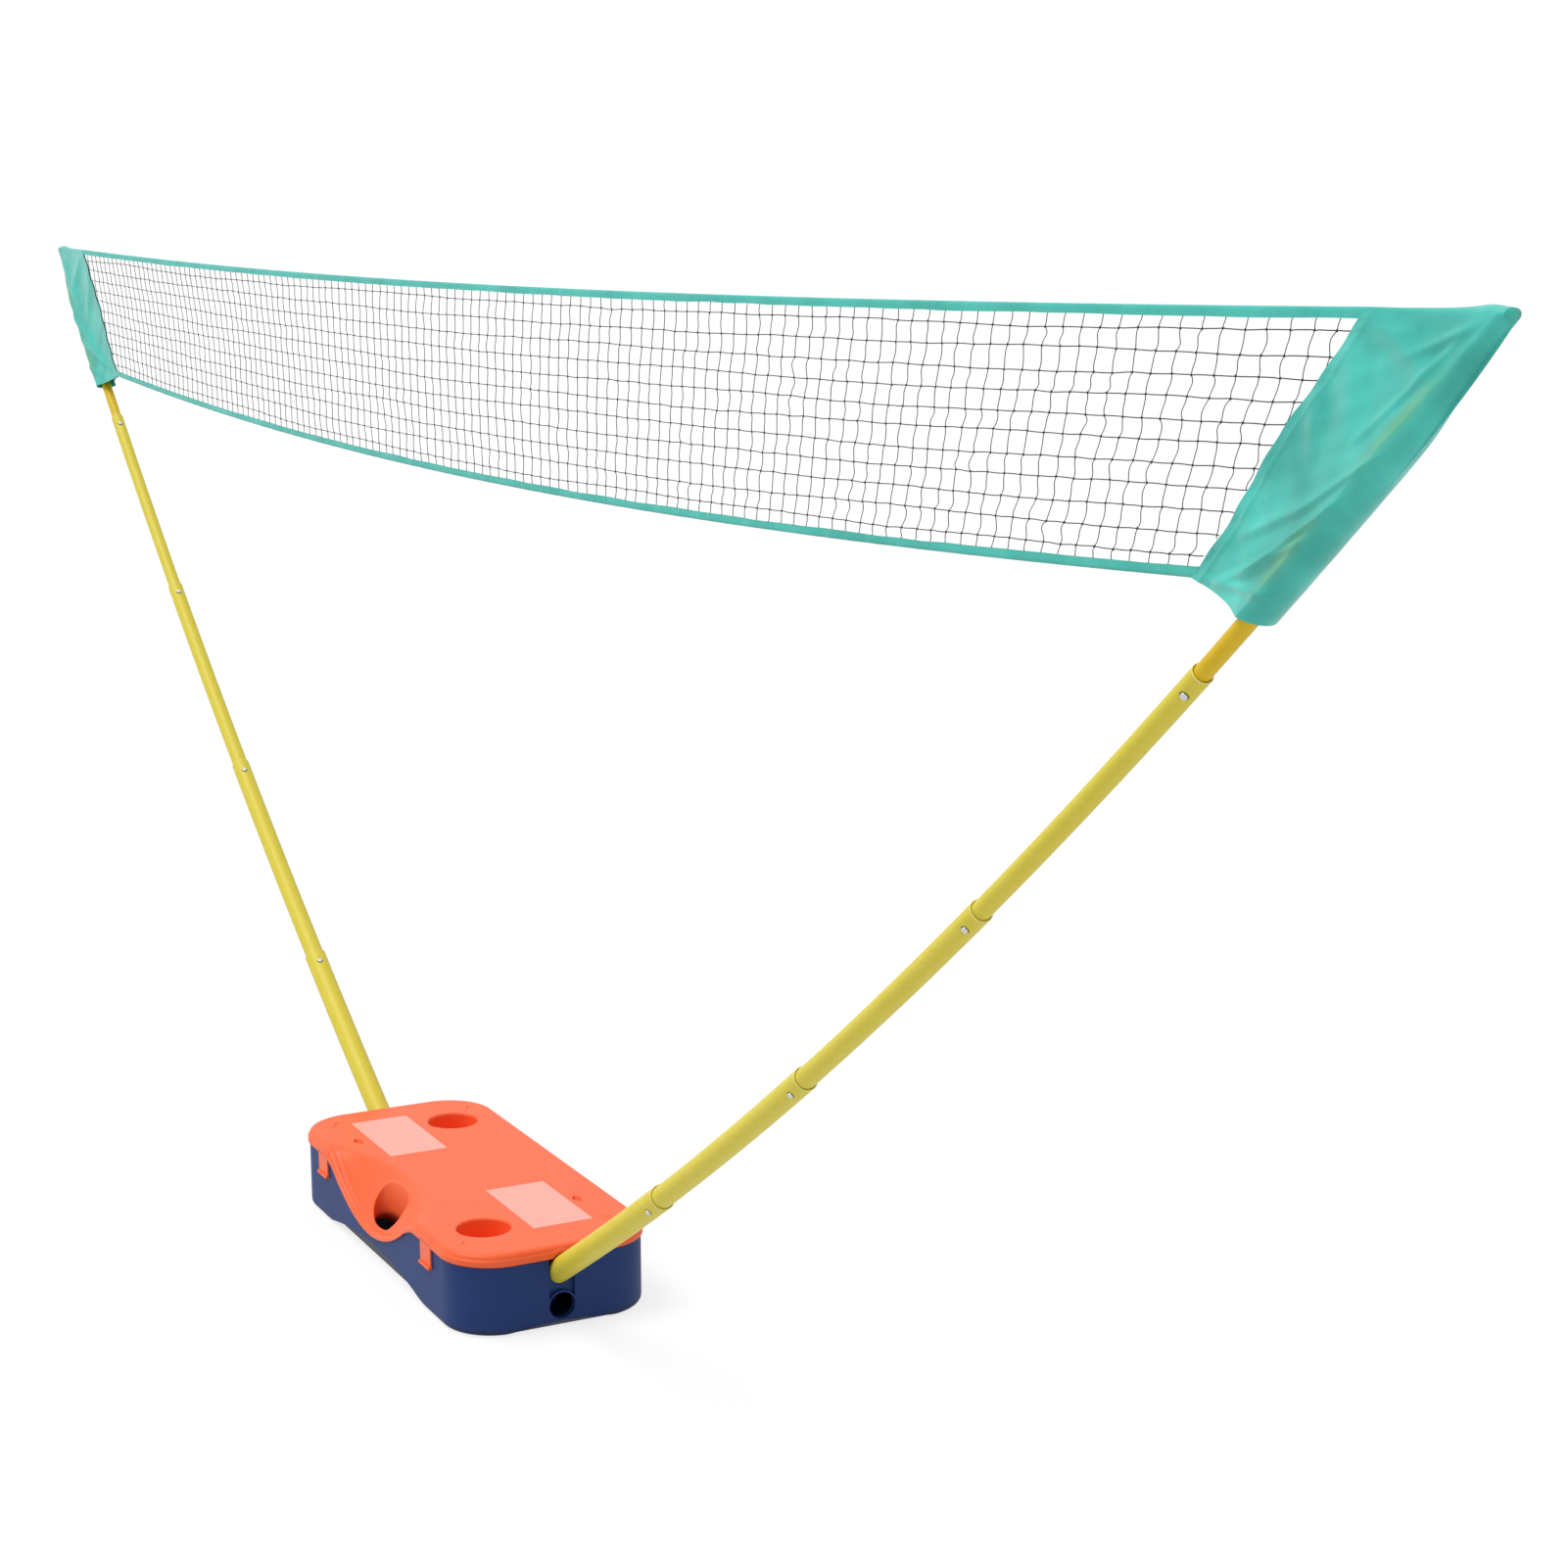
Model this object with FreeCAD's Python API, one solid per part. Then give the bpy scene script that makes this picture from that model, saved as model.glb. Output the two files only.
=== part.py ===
"""A portable net set: a hinged carrying case that stands on the ground as a base, two telescopic bowed
poles that plug into its ends, and a leisure volleyball net whose cloth pockets slip over the pole tips.
Millimetres. The origin is on the ground under the middle of the case, X along the net, Y from front to
back, Z up. The left half mirrors the right, apart from the snap buttons and the lid's wells and labels."""

import FreeCAD, Part
import math
import os

from FreeCAD import Vector

# How far a cutting shape runs past what it cuts
beyond = 1.0
well_beyond = 40.0

# Edges this close to a place are taken as lying there
tolerance = 0.001

# Case
case_half_length = 360.0
case_half_width = 152.0
case_corner = 80.0
case_wall = 2.6
case_floor = 3.0
lid_top = 120.7
lip_bottom = 102.7
lip_step = 3.0
lid_clearance = 0.4
lid_edge_round = 6.0
rim_rise = 4.0
rim_dip_depth = 12.0
tray_edge_round = 10.0

# Scooped handle in the front of the lid
dish_x = -20.0
dish_edge = [(0, 86.5), (68, 93.0), (104, 104.5), (135, 119.0), (165, 130.0), (192, 142.0), (215, 153.0)]
dish_foot = [(0, 49.0), (45, 53.5), (90, 66.5), (130, 85.0), (160, 102.0), (190, 114.5), (215, 119.6)]
apron_edge = [(0, 40.0), (45, 44.5), (90, 57.5), (130, 76.0), (160, 93.0), (190, 102.7)]
apron_band = 9.0
dish_wall_height = 4.0
hand_hole_length = 98.0
hand_hole_width = 42.0
hand_hole_x = -6.0
hand_collar_depth = 24.0

# Wells, labels and thumb slots in the lid
well_radius = 38.6
well_depth = 45.0
well_x = 241.0
well_y = -70.0
label_length = 182.0
label_width = 91.0
label_thickness = 0.5
label_recess = 0.4
label_centres = {"far_label": (-209.0, -32.5), "near_label": (186.5, 37.0)}
slot_length = 24.0
slot_width = 9.0
slot_depth = 1.2
slot_centres = [(-211.0, -97.0), (190.0, 97.0)]

# Arched underside of the tray
front_arch_half = 225.0
front_arch_height = 28.0
front_arch_depth = 16.0
end_arch_half = 95.0
end_arch_height = 9.0
end_arch_depth = 12.0

# End slots, storage holes and pole sockets
storage_radius = 19.3
storage_z = 31.4
storage_collar = 12.0
saddle_thickness = 6.0
saddle_top = 84.0
saddle_clearance = 0.3
pole_notch_clearance = 1.0
socket_wall = 3.2
socket_clearance = 0.05
socket_depth = 45.0
socket_flange = 14.0
socket_flange_thickness = 4.0
screw_radius = 2.0
screw_head_radius = 4.0
screw_head_height = 2.4
screw_hole_clearance = 0.1
screw_head_sunk = 0.2
screw_spread = 12.0
pedestal_back = 10.0
pedestal_drop = 4.0

# Hinge at the back and latches at the front
hinge_x = 200.0
knuckle_radius = 2.8
knuckle_length = 14.0
knuckle_gap = 0.4
hinge_pin_radius = 1.3
pin_clearance = 0.05
latch_x = 222.0
latch_width = 40.0
latch_bottom = 71.0
latch_side_gap = 0.5
latch_grip = 3.0
latch_grip_height = 3.5
latch_film_gap = 0.3
catch_z = 78.0
catch_height = 4.0
catch_depth = 1.4
catch_clearance = 0.5
nib_inset = 4.0

# Poles
exit_x = 342.0
exit_z = 77.2
exit_angle = math.radians(30.858)
bow_radius = 11491.0
joints_along = [410.7, 881.9, 1353.0, 1824.1]
pole_foot = -105.0
pole_tip = 2315.0
section_overlap = 45.0
base_diameter = 34.4
section_count = 5
tube_wall = 1.5
tube_clearance = 0.55
plug_flange = 3.0
plug_length = 18.0
plug_clearance = 0.1
cap_dome = 3.0
cap_crown_share = 0.7
cap_length = 14.0

# The seam of each tube's surface is turned to its back, away from the snap buttons
seam_turn = -90.0

# Snap buttons and their springs
button_from_rim = 26.0
button_radius = 3.9
button_hole_clearance = 0.2
hole_draft = 0.02
button_proud = 2.0
button_crown_share = 0.8
button_flange_radius = 4.9
button_flange_thickness = 0.8
spring_strip = 0.6
spring_width = 5.0
spring_ahead = 10.0
spring_behind = 9.0
wall_touch = 0.1
button_turn = {"right": math.radians(40), "left": math.radians(-82)}

# Net
top_sag = 23.0
bottom_sag = 51.0
tape_width = 9.0
tape_thickness = 2.4
mesh_thickness = 2.0
mesh_columns = 30
mesh_rows = 10
mesh_cord = 5.0
sewn_gap = 0.2

# Cloth pockets on the pole tips
pocket_bottom = 1931.0
pocket_top_width = 160.7
pocket_top_rise = 2.9
pocket_foot_width = 100.8
pocket_foot_rise = 14.1
pocket_wall = 1.4
pocket_clearance = 0.4
pocket_web = 3.0
pocket_seam_gap = 0.3

tray_half_length = case_half_length - lip_step
tray_half_width = case_half_width - lip_step
tray_corner = case_corner - lip_step
tray_rim = lip_bottom + rim_rise
bow_centre_x = exit_x - bow_radius * math.sin(exit_angle)
bow_centre_z = exit_z + bow_radius * math.cos(exit_angle)
hinge_y = tray_half_width + lid_clearance + knuckle_radius
lip_thickness = lip_step - lid_clearance
latch_y = -case_half_width + lip_thickness / 2
latch_z = lip_bottom + lip_thickness / 2
radii = [base_diameter / 2 - i * (tube_wall + tube_clearance) for i in range(section_count)]


def rounded_slab(half_length, half_width, corner, z0, z1):
    """A slab with rounded corners, centred on the Z axis."""
    x = half_length - corner
    y = half_width - corner
    d = corner * math.sqrt(0.5)
    edges = []
    for sx, sy in ((1, 1), (-1, 1), (-1, -1), (1, -1)):
        start = Vector(sx * half_length, sy * y, z0)
        end = Vector(sx * x, sy * half_width, z0)
        middle = Vector(sx * (x + d), sy * (y + d), z0)
        if sx * sy < 0:
            start, end = end, start
        edges.append(Part.Arc(start, middle, end).toShape())
    lines = []
    for i in range(4):
        a = edges[i].Vertexes[-1].Point
        b = edges[(i + 1) % 4].Vertexes[0].Point
        lines.append(Part.makeLine(a, b))
    wire = Part.Wire([e for pair in zip(edges, lines) for e in pair])
    return Part.Face(wire).extrude(Vector(0, 0, z1 - z0))


def round_level_edges(shape, z, radius):
    """Rounds the edges that lie at one height."""
    edges = [e for e in shape.Edges
             if abs(e.BoundBox.ZMin - z) < tolerance and abs(e.BoundBox.ZMax - z) < tolerance]
    return shape.makeFillet(radius, edges)


def box(x0, x1, y0, y1, z0, z1):
    return Part.makeBox(x1 - x0, y1 - y0, z1 - z0, Vector(x0, y0, z0))


def rod(start, direction, radius, length):
    return Part.makeCylinder(radius, length, start, direction)


def mirrored(shape):
    return shape.mirror(Vector(0, 0, 0), Vector(1, 0, 0))


def fused(shapes):
    return shapes[0].multiFuse(shapes[1:]).removeSplitter()


def bow_angle(along):
    """The slope of the pole above horizontal, at a distance along it from the exit."""
    return exit_angle + along / bow_radius


def bow_point(along):
    a = bow_angle(along)
    return Vector(bow_centre_x + bow_radius * math.sin(a), 0, bow_centre_z - bow_radius * math.cos(a))


def bow_direction(along):
    a = bow_angle(along)
    return Vector(math.cos(a), 0, math.sin(a))


# The net's corners are where the pockets' webs end, so that they follow the poles
net_top_corner = bow_point(pole_tip) + Vector(-pocket_top_width, 0, pocket_top_rise)
net_bottom_corner = bow_point(pocket_bottom) + Vector(-pocket_foot_width, 0, pocket_foot_rise)
net_top_half = net_top_corner.x
net_top_z = net_top_corner.z
net_bottom_half = net_bottom_corner.x
net_bottom_z = net_bottom_corner.z


def bow_tube(start, end, outer, inner=0.0):
    """A tube, or a rod, bent along the pole's bow."""
    point = bow_point(start)
    direction = bow_direction(start)
    wires = [Part.Wire(Part.makeCircle(r, point, direction)) for r in (outer, inner) if r > 0]
    for wire in wires:
        wire.rotate(point, direction, seam_turn)
    face = Part.makeFace(wires, "Part::FaceMakerBullseye")
    centre = Vector(bow_centre_x, 0, bow_centre_z)
    return face.revolve(centre, Vector(0, -1, 0), math.degrees((end - start) / bow_radius))


def spline(points):
    curve = Part.BSplineCurve()
    curve.interpolate([Vector(*p) for p in points])
    return curve.toShape()


def both_sides(offsets):
    """Offsets from the middle of the scoop, made into points from its left end to its right end."""
    left = [(-x, v) for x, v in reversed(offsets) if x > 0]
    return [(dish_x + x, v) for x, v in left + list(offsets)]


def dish_surface():
    """The sloping face of the scoop, from its edge on the lid's top to the lip at the front."""
    upper = spline([(x, -y, lid_top + lid_clearance) for x, y in both_sides(dish_edge)])
    front = -(case_half_width + beyond)
    lower = spline([(x, front, z) for x, z in both_sides(dish_foot)])
    return Part.makeRuledSurface(upper, lower)


def arched_undercut(half, height, depth, face, extra):
    """The space under a wall's arched lower edge, at y = -face, with a back that slopes to the ground."""
    low = -beyond
    top = height + extra
    reach = half + extra
    arch = Part.Wire([
        Part.Arc(Vector(-reach, 0, low), Vector(0, 0, top), Vector(reach, 0, low)).toShape(),
        Part.makeLine(Vector(reach, 0, low), Vector(-reach, 0, low)),
    ])
    block = Part.Face(arch).extrude(Vector(0, depth + extra + 2 * beyond, 0))
    block.translate(Vector(0, -face - beyond, 0))
    corners = [(-face - beyond, low), (-face + depth + extra, low), (-face + extra, top),
               (-face - beyond, top + beyond)]
    section = Part.makePolygon([Vector(-reach, y, z) for y, z in corners + corners[:1]])
    return block.common(Part.Face(section).extrude(Vector(2 * reach, 0, 0)))


def undercuts(extra):
    front = arched_undercut(front_arch_half, front_arch_height, front_arch_depth, tray_half_width, extra)
    end = arched_undercut(end_arch_half, end_arch_height, end_arch_depth, tray_half_length, extra)
    end.rotate(Vector(0, 0, 0), Vector(0, 0, 1), 90)
    return [front, end, mirrored(end)]


def slot_prism(radius, x0, x1):
    """A round hole that opens upwards into a slot, across the end wall."""
    hole = rod(Vector(x0, 0, storage_z), Vector(1, 0, 0), radius, x1 - x0)
    return hole.fuse(box(x0, x1, -radius, radius, storage_z, tray_rim))


def pole_space(clearance, start, end):
    return bow_tube(start, end, radii[0] + clearance)


def hinge_knuckles(of_lid):
    """The lid has the middle knuckle of each hinge, the tray the two beside it."""
    pitch = knuckle_length + knuckle_gap
    offsets = [0] if of_lid else [-pitch, pitch]
    pieces = []
    for hinge in (-hinge_x, hinge_x):
        for offset in offsets:
            x = hinge + offset - knuckle_length / 2
            barrel = rod(Vector(x, hinge_y, lip_bottom), Vector(1, 0, 0), knuckle_radius, knuckle_length)
            z0 = lip_bottom if of_lid else lip_bottom - knuckle_radius
            y0 = hinge_y - knuckle_radius if of_lid else tray_half_width - case_wall / 2
            bracket = box(x, x + knuckle_length, y0, hinge_y, z0, z0 + knuckle_radius)
            pieces.append(barrel.fuse(bracket))
    return pieces


def hinge_bores():
    length = 3 * knuckle_length + 4 * knuckle_gap
    bore = hinge_pin_radius + pin_clearance
    return [rod(Vector(x - length / 2, hinge_y, lip_bottom), Vector(1, 0, 0), bore, length)
            for x in (-hinge_x, hinge_x)]


def tray():
    outer = rounded_slab(tray_half_length, tray_half_width, tray_corner, 0, tray_rim)
    outer = round_level_edges(outer, 0, tray_edge_round)
    inner = rounded_slab(tray_half_length - case_wall, tray_half_width - case_wall,
                         tray_corner - case_wall, case_floor, tray_rim + beyond)
    inner = round_level_edges(inner, case_floor, tray_edge_round - case_wall)
    for space in undercuts(case_floor):
        inner = inner.cut(space)
    shell = outer.cut(inner)
    for space in undercuts(0):
        shell = shell.cut(space)
    start = tray_half_length - storage_collar
    liners = []
    hollows = []
    for turn in (lambda s: s, mirrored):
        liner = slot_prism(storage_radius + case_wall, start, tray_half_length)
        liners.append(turn(liner))
        hollow = slot_prism(storage_radius, start - beyond, tray_half_length + beyond)
        saddle = box(start, start + saddle_thickness, -storage_radius, storage_radius, storage_z, saddle_top)
        hole = rod(Vector(start - beyond, 0, storage_z), Vector(1, 0, 0), storage_radius,
                   storage_collar + 2 * beyond)
        collar = rod(Vector(start, 0, storage_z), Vector(1, 0, 0), storage_radius + case_wall, storage_collar)
        saddle = saddle.cut(hole).cut(pole_space(saddle_clearance, pole_foot, well_beyond))
        above = box(start, start + saddle_thickness, -storage_radius, storage_radius, exit_z, tray_rim)
        hollows.append(turn(hollow.cut(saddle.cut(above)).cut(collar.cut(hole))))
    body = fused([shell] + liners + hinge_knuckles(False))
    top_cut = both_sides([(x, z + rim_rise) for x, z in apron_edge])
    rim_curve = spline([(x, -case_half_width - beyond, z) for x, z in top_cut])
    ends = [v.Point for v in rim_curve.Vertexes]
    high = tray_rim + well_beyond
    raised = [Vector(ends[1].x, ends[1].y, high), Vector(ends[0].x, ends[0].y, high)]
    outline = Part.Wire([rim_curve, Part.makeLine(ends[1], raised[0]), Part.makeLine(*raised),
                         Part.makeLine(raised[1], ends[0])])
    dip = Part.Face(outline).extrude(Vector(0, lip_step + case_wall + rim_dip_depth, 0))
    body = body.cut(dip)
    for space in hollows + hinge_bores():
        body = body.cut(space)
    for x in (-latch_x, latch_x):
        half = latch_width / 2 + latch_side_gap
        low = catch_z - catch_clearance
        body = body.cut(box(x - half, x + half, -tray_half_width - beyond, -tray_half_width + catch_depth,
                            low, low + catch_height + 2 * catch_clearance))
    for x, y in socket_screw_places():
        hole = rod(Vector(x, y, -beyond), Vector(0, 0, 1), screw_radius + screw_hole_clearance,
                   case_floor + 2 * beyond)
        head = rod(Vector(x, y, -beyond), Vector(0, 0, 1), screw_head_radius + screw_hole_clearance,
                   screw_head_height + beyond)
        boss = rod(Vector(x, y, 0), Vector(0, 0, 1), screw_head_radius + case_wall,
                   screw_head_height + case_floor)
        body = body.fuse(boss).cut(head).cut(hole)
        body = body.cut(rod(Vector(x, y, 0), Vector(0, 0, 1), screw_radius + screw_hole_clearance,
                            screw_head_height + case_floor + beyond))
    return body


def slope_frame():
    """The middle of the hand hole on the scoop's face, and the direction straight out of that face."""
    surface_top = lid_top
    surface_foot = dish_foot[0][1]
    back = -dish_edge[0][1]
    front = -case_half_width
    run = Vector(0, front - back, surface_foot - surface_top)
    middle = Vector(hand_hole_x, (front + back) / 2, (surface_top + surface_foot) / 2)
    normal = Vector(0, run.z, -run.y)
    normal.normalize()
    return middle, normal


def hand_hole(radius, half_length, inward, outward):
    """An oval prism through the scoop's face."""
    middle, normal = slope_frame()
    start = middle - normal * inward
    length = inward + outward
    straight = half_length - radius
    ends = [rod(start + Vector(s * straight, 0, 0), normal, radius, length) for s in (-1, 1)]
    across = normal.cross(Vector(1, 0, 0))
    corner = start - Vector(straight, 0, 0) - across * radius
    points = [corner, corner + Vector(2 * straight, 0, 0),
              corner + Vector(2 * straight, 0, 0) + across * (2 * radius), corner + across * (2 * radius)]
    slab = Part.Face(Part.makePolygon(points + points[:1])).extrude(normal * length)
    return fused(ends + [slab])


def lid():
    outer = rounded_slab(case_half_length, case_half_width, case_corner, lip_bottom, lid_top)
    outer = round_level_edges(outer, lid_top, lid_edge_round)
    inner = rounded_slab(tray_half_length + lid_clearance, tray_half_width + lid_clearance,
                         tray_corner + lid_clearance, lip_bottom - beyond, lid_top - case_wall)
    inner = round_level_edges(inner, lid_top - case_wall, lid_edge_round - case_wall)
    shell = outer.cut(inner)
    bounds = rounded_slab(case_half_length, case_half_width, case_corner, 0, lid_top)
    surface = dish_surface()
    panel = surface.extrude(Vector(0, 0, -dish_wall_height)).common(bounds)
    above = surface.extrude(Vector(0, 0, lid_top))
    lower = spline([(x, -case_half_width, z) for x, z in both_sides(apron_edge)])
    upper = spline([(x, -case_half_width, z + apron_band) for x, z in both_sides(apron_edge)])
    band = Part.makeRuledSurface(lower, upper).extrude(Vector(0, lip_thickness, 0))
    wells = []
    well_hollows = []
    for s in (1, -1):
        foot = Vector(s * well_x, s * well_y, lid_top - well_depth)
        wells.append(rod(foot - Vector(0, 0, case_wall), Vector(0, 0, 1), well_radius + case_wall,
                         well_depth + case_wall - beyond))
        well_hollows.append(rod(foot, Vector(0, 0, 1), well_radius, well_depth + beyond))
    collar = hand_hole(hand_hole_width / 2 + case_wall, hand_hole_length / 2 + case_wall,
                       hand_collar_depth, dish_wall_height)
    body = fused([shell, panel, band, collar] + wells)
    body = body.cut(above)
    body = body.cut(hand_hole(hand_hole_width / 2, hand_hole_length / 2,
                              hand_collar_depth + well_beyond, well_beyond))
    for hollow in well_hollows:
        body = body.cut(hollow)
    body = body.fuse(hinge_knuckles(True)).removeSplitter()
    for bore in hinge_bores():
        body = body.cut(bore)
    pitch = knuckle_length + knuckle_gap
    for hinge in (-hinge_x, hinge_x):
        for x in (hinge - pitch, hinge + pitch):
            half = knuckle_length / 2 + knuckle_gap
            body = body.cut(box(x - half, x + half, tray_half_width, hinge_y + knuckle_radius,
                                lip_bottom - knuckle_radius, lip_bottom + knuckle_radius + beyond))
    for turn in (lambda s: s, mirrored):
        body = body.cut(turn(pole_space(pole_notch_clearance, 0, well_beyond)))
    for x, y in label_centres.values():
        body = body.cut(box(x - label_length / 2, x + label_length / 2, y - label_width / 2,
                            y + label_width / 2, lid_top - label_recess, lid_top + beyond))
    for x, y in slot_centres:
        half = slot_length / 2
        body = body.cut(box(x - half, x + half, y - slot_width / 2, y + slot_width / 2,
                            lid_top - slot_depth, lid_top + beyond))
    for x in (-latch_x, latch_x):
        half = latch_width / 2 + latch_side_gap
        body = body.cut(box(x - half, x + half, -case_half_width - beyond, -tray_half_width,
                            latch_bottom, lip_bottom + lip_thickness + latch_film_gap))
    return body


def latch(x):
    """A springy tab that hangs from the lid's lip, with a finger grip and a nib for the tray's catch."""
    half = latch_width / 2
    rolled_edge = rod(Vector(x - half, latch_y, latch_z), Vector(1, 0, 0), lip_thickness / 2, latch_width)
    inner = -case_half_width + lip_thickness
    plate = box(x - half, x + half, -case_half_width, inner, latch_bottom, latch_z)
    grip = box(x - half, x + half, -case_half_width - latch_grip, inner, latch_bottom,
               latch_bottom + latch_grip_height)
    nib_face = -tray_half_width + catch_depth - catch_clearance
    nib = box(x - half + nib_inset, x + half - nib_inset, inner, nib_face, catch_z, catch_z + catch_height)
    return fused([rolled_edge, plate, grip, nib])


def hinge_pins():
    length = 3 * knuckle_length + 2 * knuckle_gap
    return Part.makeCompound([rod(Vector(x - length / 2, hinge_y, lip_bottom), Vector(1, 0, 0),
                                  hinge_pin_radius, length) for x in (-hinge_x, hinge_x)])


def label(centre):
    x, y = centre
    z = lid_top - label_recess
    return box(x - label_length / 2, x + label_length / 2, y - label_width / 2, y + label_width / 2,
               z, z + label_thickness)


def socket_screw_places():
    foot = bow_point(pole_foot)
    reach = radii[0] + socket_wall + socket_flange / 2
    return [(sx * (foot.x + screw_spread), sy * reach) for sx in (1, -1) for sy in (1, -1)]


def pole_socket():
    """An inclined cup on a foot, screwed to the floor of the tray, that the foot of the pole drops into."""
    outer = radii[0] + socket_clearance + socket_wall
    seat = pole_foot - plug_flange
    floor = case_floor
    cup = bow_tube(seat - socket_wall, seat + socket_depth, outer)
    low = bow_point(seat)
    high = bow_point(seat + socket_depth)
    back = low.x - pedestal_back
    corners = [(back, floor), (high.x, floor), (high.x, high.z), (back, low.z - pedestal_drop)]
    pedestal = Part.Face(Part.makePolygon([Vector(x, -outer, z) for x, z in corners + corners[:1]]))
    pedestal = pedestal.extrude(Vector(0, 2 * outer, 0))
    reach = outer + socket_flange
    base = box(back, high.x, -reach, reach, floor, floor + socket_flange_thickness)
    body = fused([cup, pedestal, base])
    body = body.common(box(0, tray_half_length, -reach, reach, floor, tray_rim))
    body = body.cut(bow_tube(seat, seat + socket_depth + well_beyond, radii[0] + socket_clearance))
    for x, y in socket_screw_places():
        if x > 0:
            body = body.cut(rod(Vector(x, y, 0), Vector(0, 0, 1), screw_radius + screw_hole_clearance,
                                well_beyond))
            body = body.cut(rod(Vector(x, y, 0), Vector(0, 0, 1),
                                screw_head_radius + case_wall + screw_hole_clearance,
                                screw_head_height + case_floor + screw_hole_clearance))
    return body


def socket_screws():
    top = case_floor + socket_flange_thickness
    pieces = []
    for x, y in socket_screw_places():
        start = Vector(x, y, screw_head_sunk)
        shank = rod(start, Vector(0, 0, 1), screw_radius, top - screw_head_sunk)
        head = rod(start, Vector(0, 0, 1), screw_head_radius, screw_head_height - screw_head_sunk)
        pieces.append(shank.fuse(head).removeSplitter())
    return Part.makeCompound(pieces)


def section_ends(index):
    start = pole_foot if index == 0 else joints_along[index - 1] - section_overlap
    end = pole_tip if index == section_count - 1 else joints_along[index]
    return start, end


def button_frame(joint, side):
    """The middle of the pole at a snap button, and the direction that the button faces."""
    along = joints_along[joint] - button_from_rim
    a = bow_angle(along)
    turn = button_turn[side]
    outward = Vector(math.sin(turn) * math.sin(a), -math.cos(turn), -math.sin(turn) * math.cos(a))
    return bow_point(along), outward, bow_direction(along)


def pole_section(index, side):
    start, end = section_ends(index)
    body = bow_tube(start, end, radii[index], radii[index] - tube_wall)
    for joint in (index - 1, index):
        if 0 <= joint < len(joints_along):
            point, outward, along = button_frame(joint, side)
            hole = button_radius + button_hole_clearance
            depth = radii[index] + button_proud
            body = body.cut(Part.makeCone(hole, hole + hole_draft, depth, point, outward))
    return body


def flange_face(joint):
    inside = radii[joint + 1] - tube_wall - wall_touch
    return math.sqrt(inside ** 2 - button_flange_radius ** 2)


def snap_button(joint, side):
    point, outward, along = button_frame(joint, side)
    face = flange_face(joint)
    flange = rod(point + outward * (face - button_flange_thickness), outward,
                 button_flange_radius, button_flange_thickness)
    tip = radii[joint] + button_proud
    pin = rod(point + outward * face, outward, button_radius, tip - face)
    pin = pin.fuse(flange).removeSplitter()
    rings = [e for e in pin.Edges if e.Curve.TypeId == "Part::GeomCircle"]
    crown = [e for e in rings if (e.CenterOfMass - point).dot(outward) > tip - tolerance]
    return pin.makeFillet(button_proud * button_crown_share, crown)


def snap_spring(joint, side):
    """A flat strip folded into a U: one leg carries the button, the other bears on the far wall."""
    point, outward, along = button_frame(joint, side)
    across = along.cross(outward)
    inside = radii[joint + 1] - tube_wall - wall_touch
    near = flange_face(joint) - button_flange_thickness
    far = -math.sqrt(inside ** 2 - (spring_width / 2) ** 2)
    bend = (near - far) / 2
    middle = (near + far) / 2
    origin = point - across * (spring_width / 2)

    def place(a, r):
        return origin + along * a + outward * r

    def outline(bend_radius):
        top = middle + bend_radius
        foot = middle - bend_radius
        nose = place(-spring_behind - bend_radius, middle)
        arc = Part.Arc(place(-spring_behind, top), nose, place(-spring_behind, foot)).toShape()
        return arc, place(spring_ahead, top), place(spring_ahead, foot), top, foot

    outer_arc, outer_top, outer_foot, t0, f0 = outline(bend)
    inner_arc, inner_top, inner_foot, t1, f1 = outline(bend - spring_strip)
    wire = Part.Wire([
        Part.makeLine(outer_top, place(-spring_behind, t0)), outer_arc,
        Part.makeLine(place(-spring_behind, f0), outer_foot), Part.makeLine(outer_foot, inner_foot),
        Part.makeLine(inner_foot, place(-spring_behind, f1)), inner_arc,
        Part.makeLine(place(-spring_behind, t1), inner_top), Part.makeLine(inner_top, outer_top),
    ])
    return Part.Face(wire).extrude(across * spring_width)


def foot_plug():
    start = pole_foot - plug_flange
    flange = bow_tube(start, pole_foot, radii[0])
    return flange.fuse(bow_tube(start, start + plug_length, radii[0] - tube_wall - plug_clearance))


def tip_cap():
    start = bow_point(pole_tip)
    direction = bow_direction(pole_tip)
    head = rod(start, direction, radii[-1], cap_dome)
    end = start + direction * cap_dome
    crown = [e for e in head.Edges if e.Closed and (e.CenterOfMass - end).Length < tolerance]
    head = head.makeFillet(cap_dome * cap_crown_share, crown)
    stem_length = cap_length - cap_dome
    stem_radius = radii[-1] - tube_wall - plug_clearance
    stem = rod(start - direction * stem_length, direction, stem_radius, stem_length)
    return head.fuse(stem).removeSplitter()


def net_top(x):
    return net_top_z - top_sag * (1 - (x / net_top_half) ** 2)


def net_bottom(x):
    return net_bottom_z - bottom_sag * (1 - (x / net_bottom_half) ** 2)


def net_point(u, share, offset):
    """A point of the net: u from end to end, a share of the height, and a distance above that level."""
    height = net_top_z - net_bottom_z
    half = net_bottom_half + (net_top_half - net_bottom_half) * (share + offset / height)
    x = u * (half - pocket_seam_gap)
    return Vector(x, 0, net_bottom(x) + (net_top(x) - net_bottom(x)) * share + offset)


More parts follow.
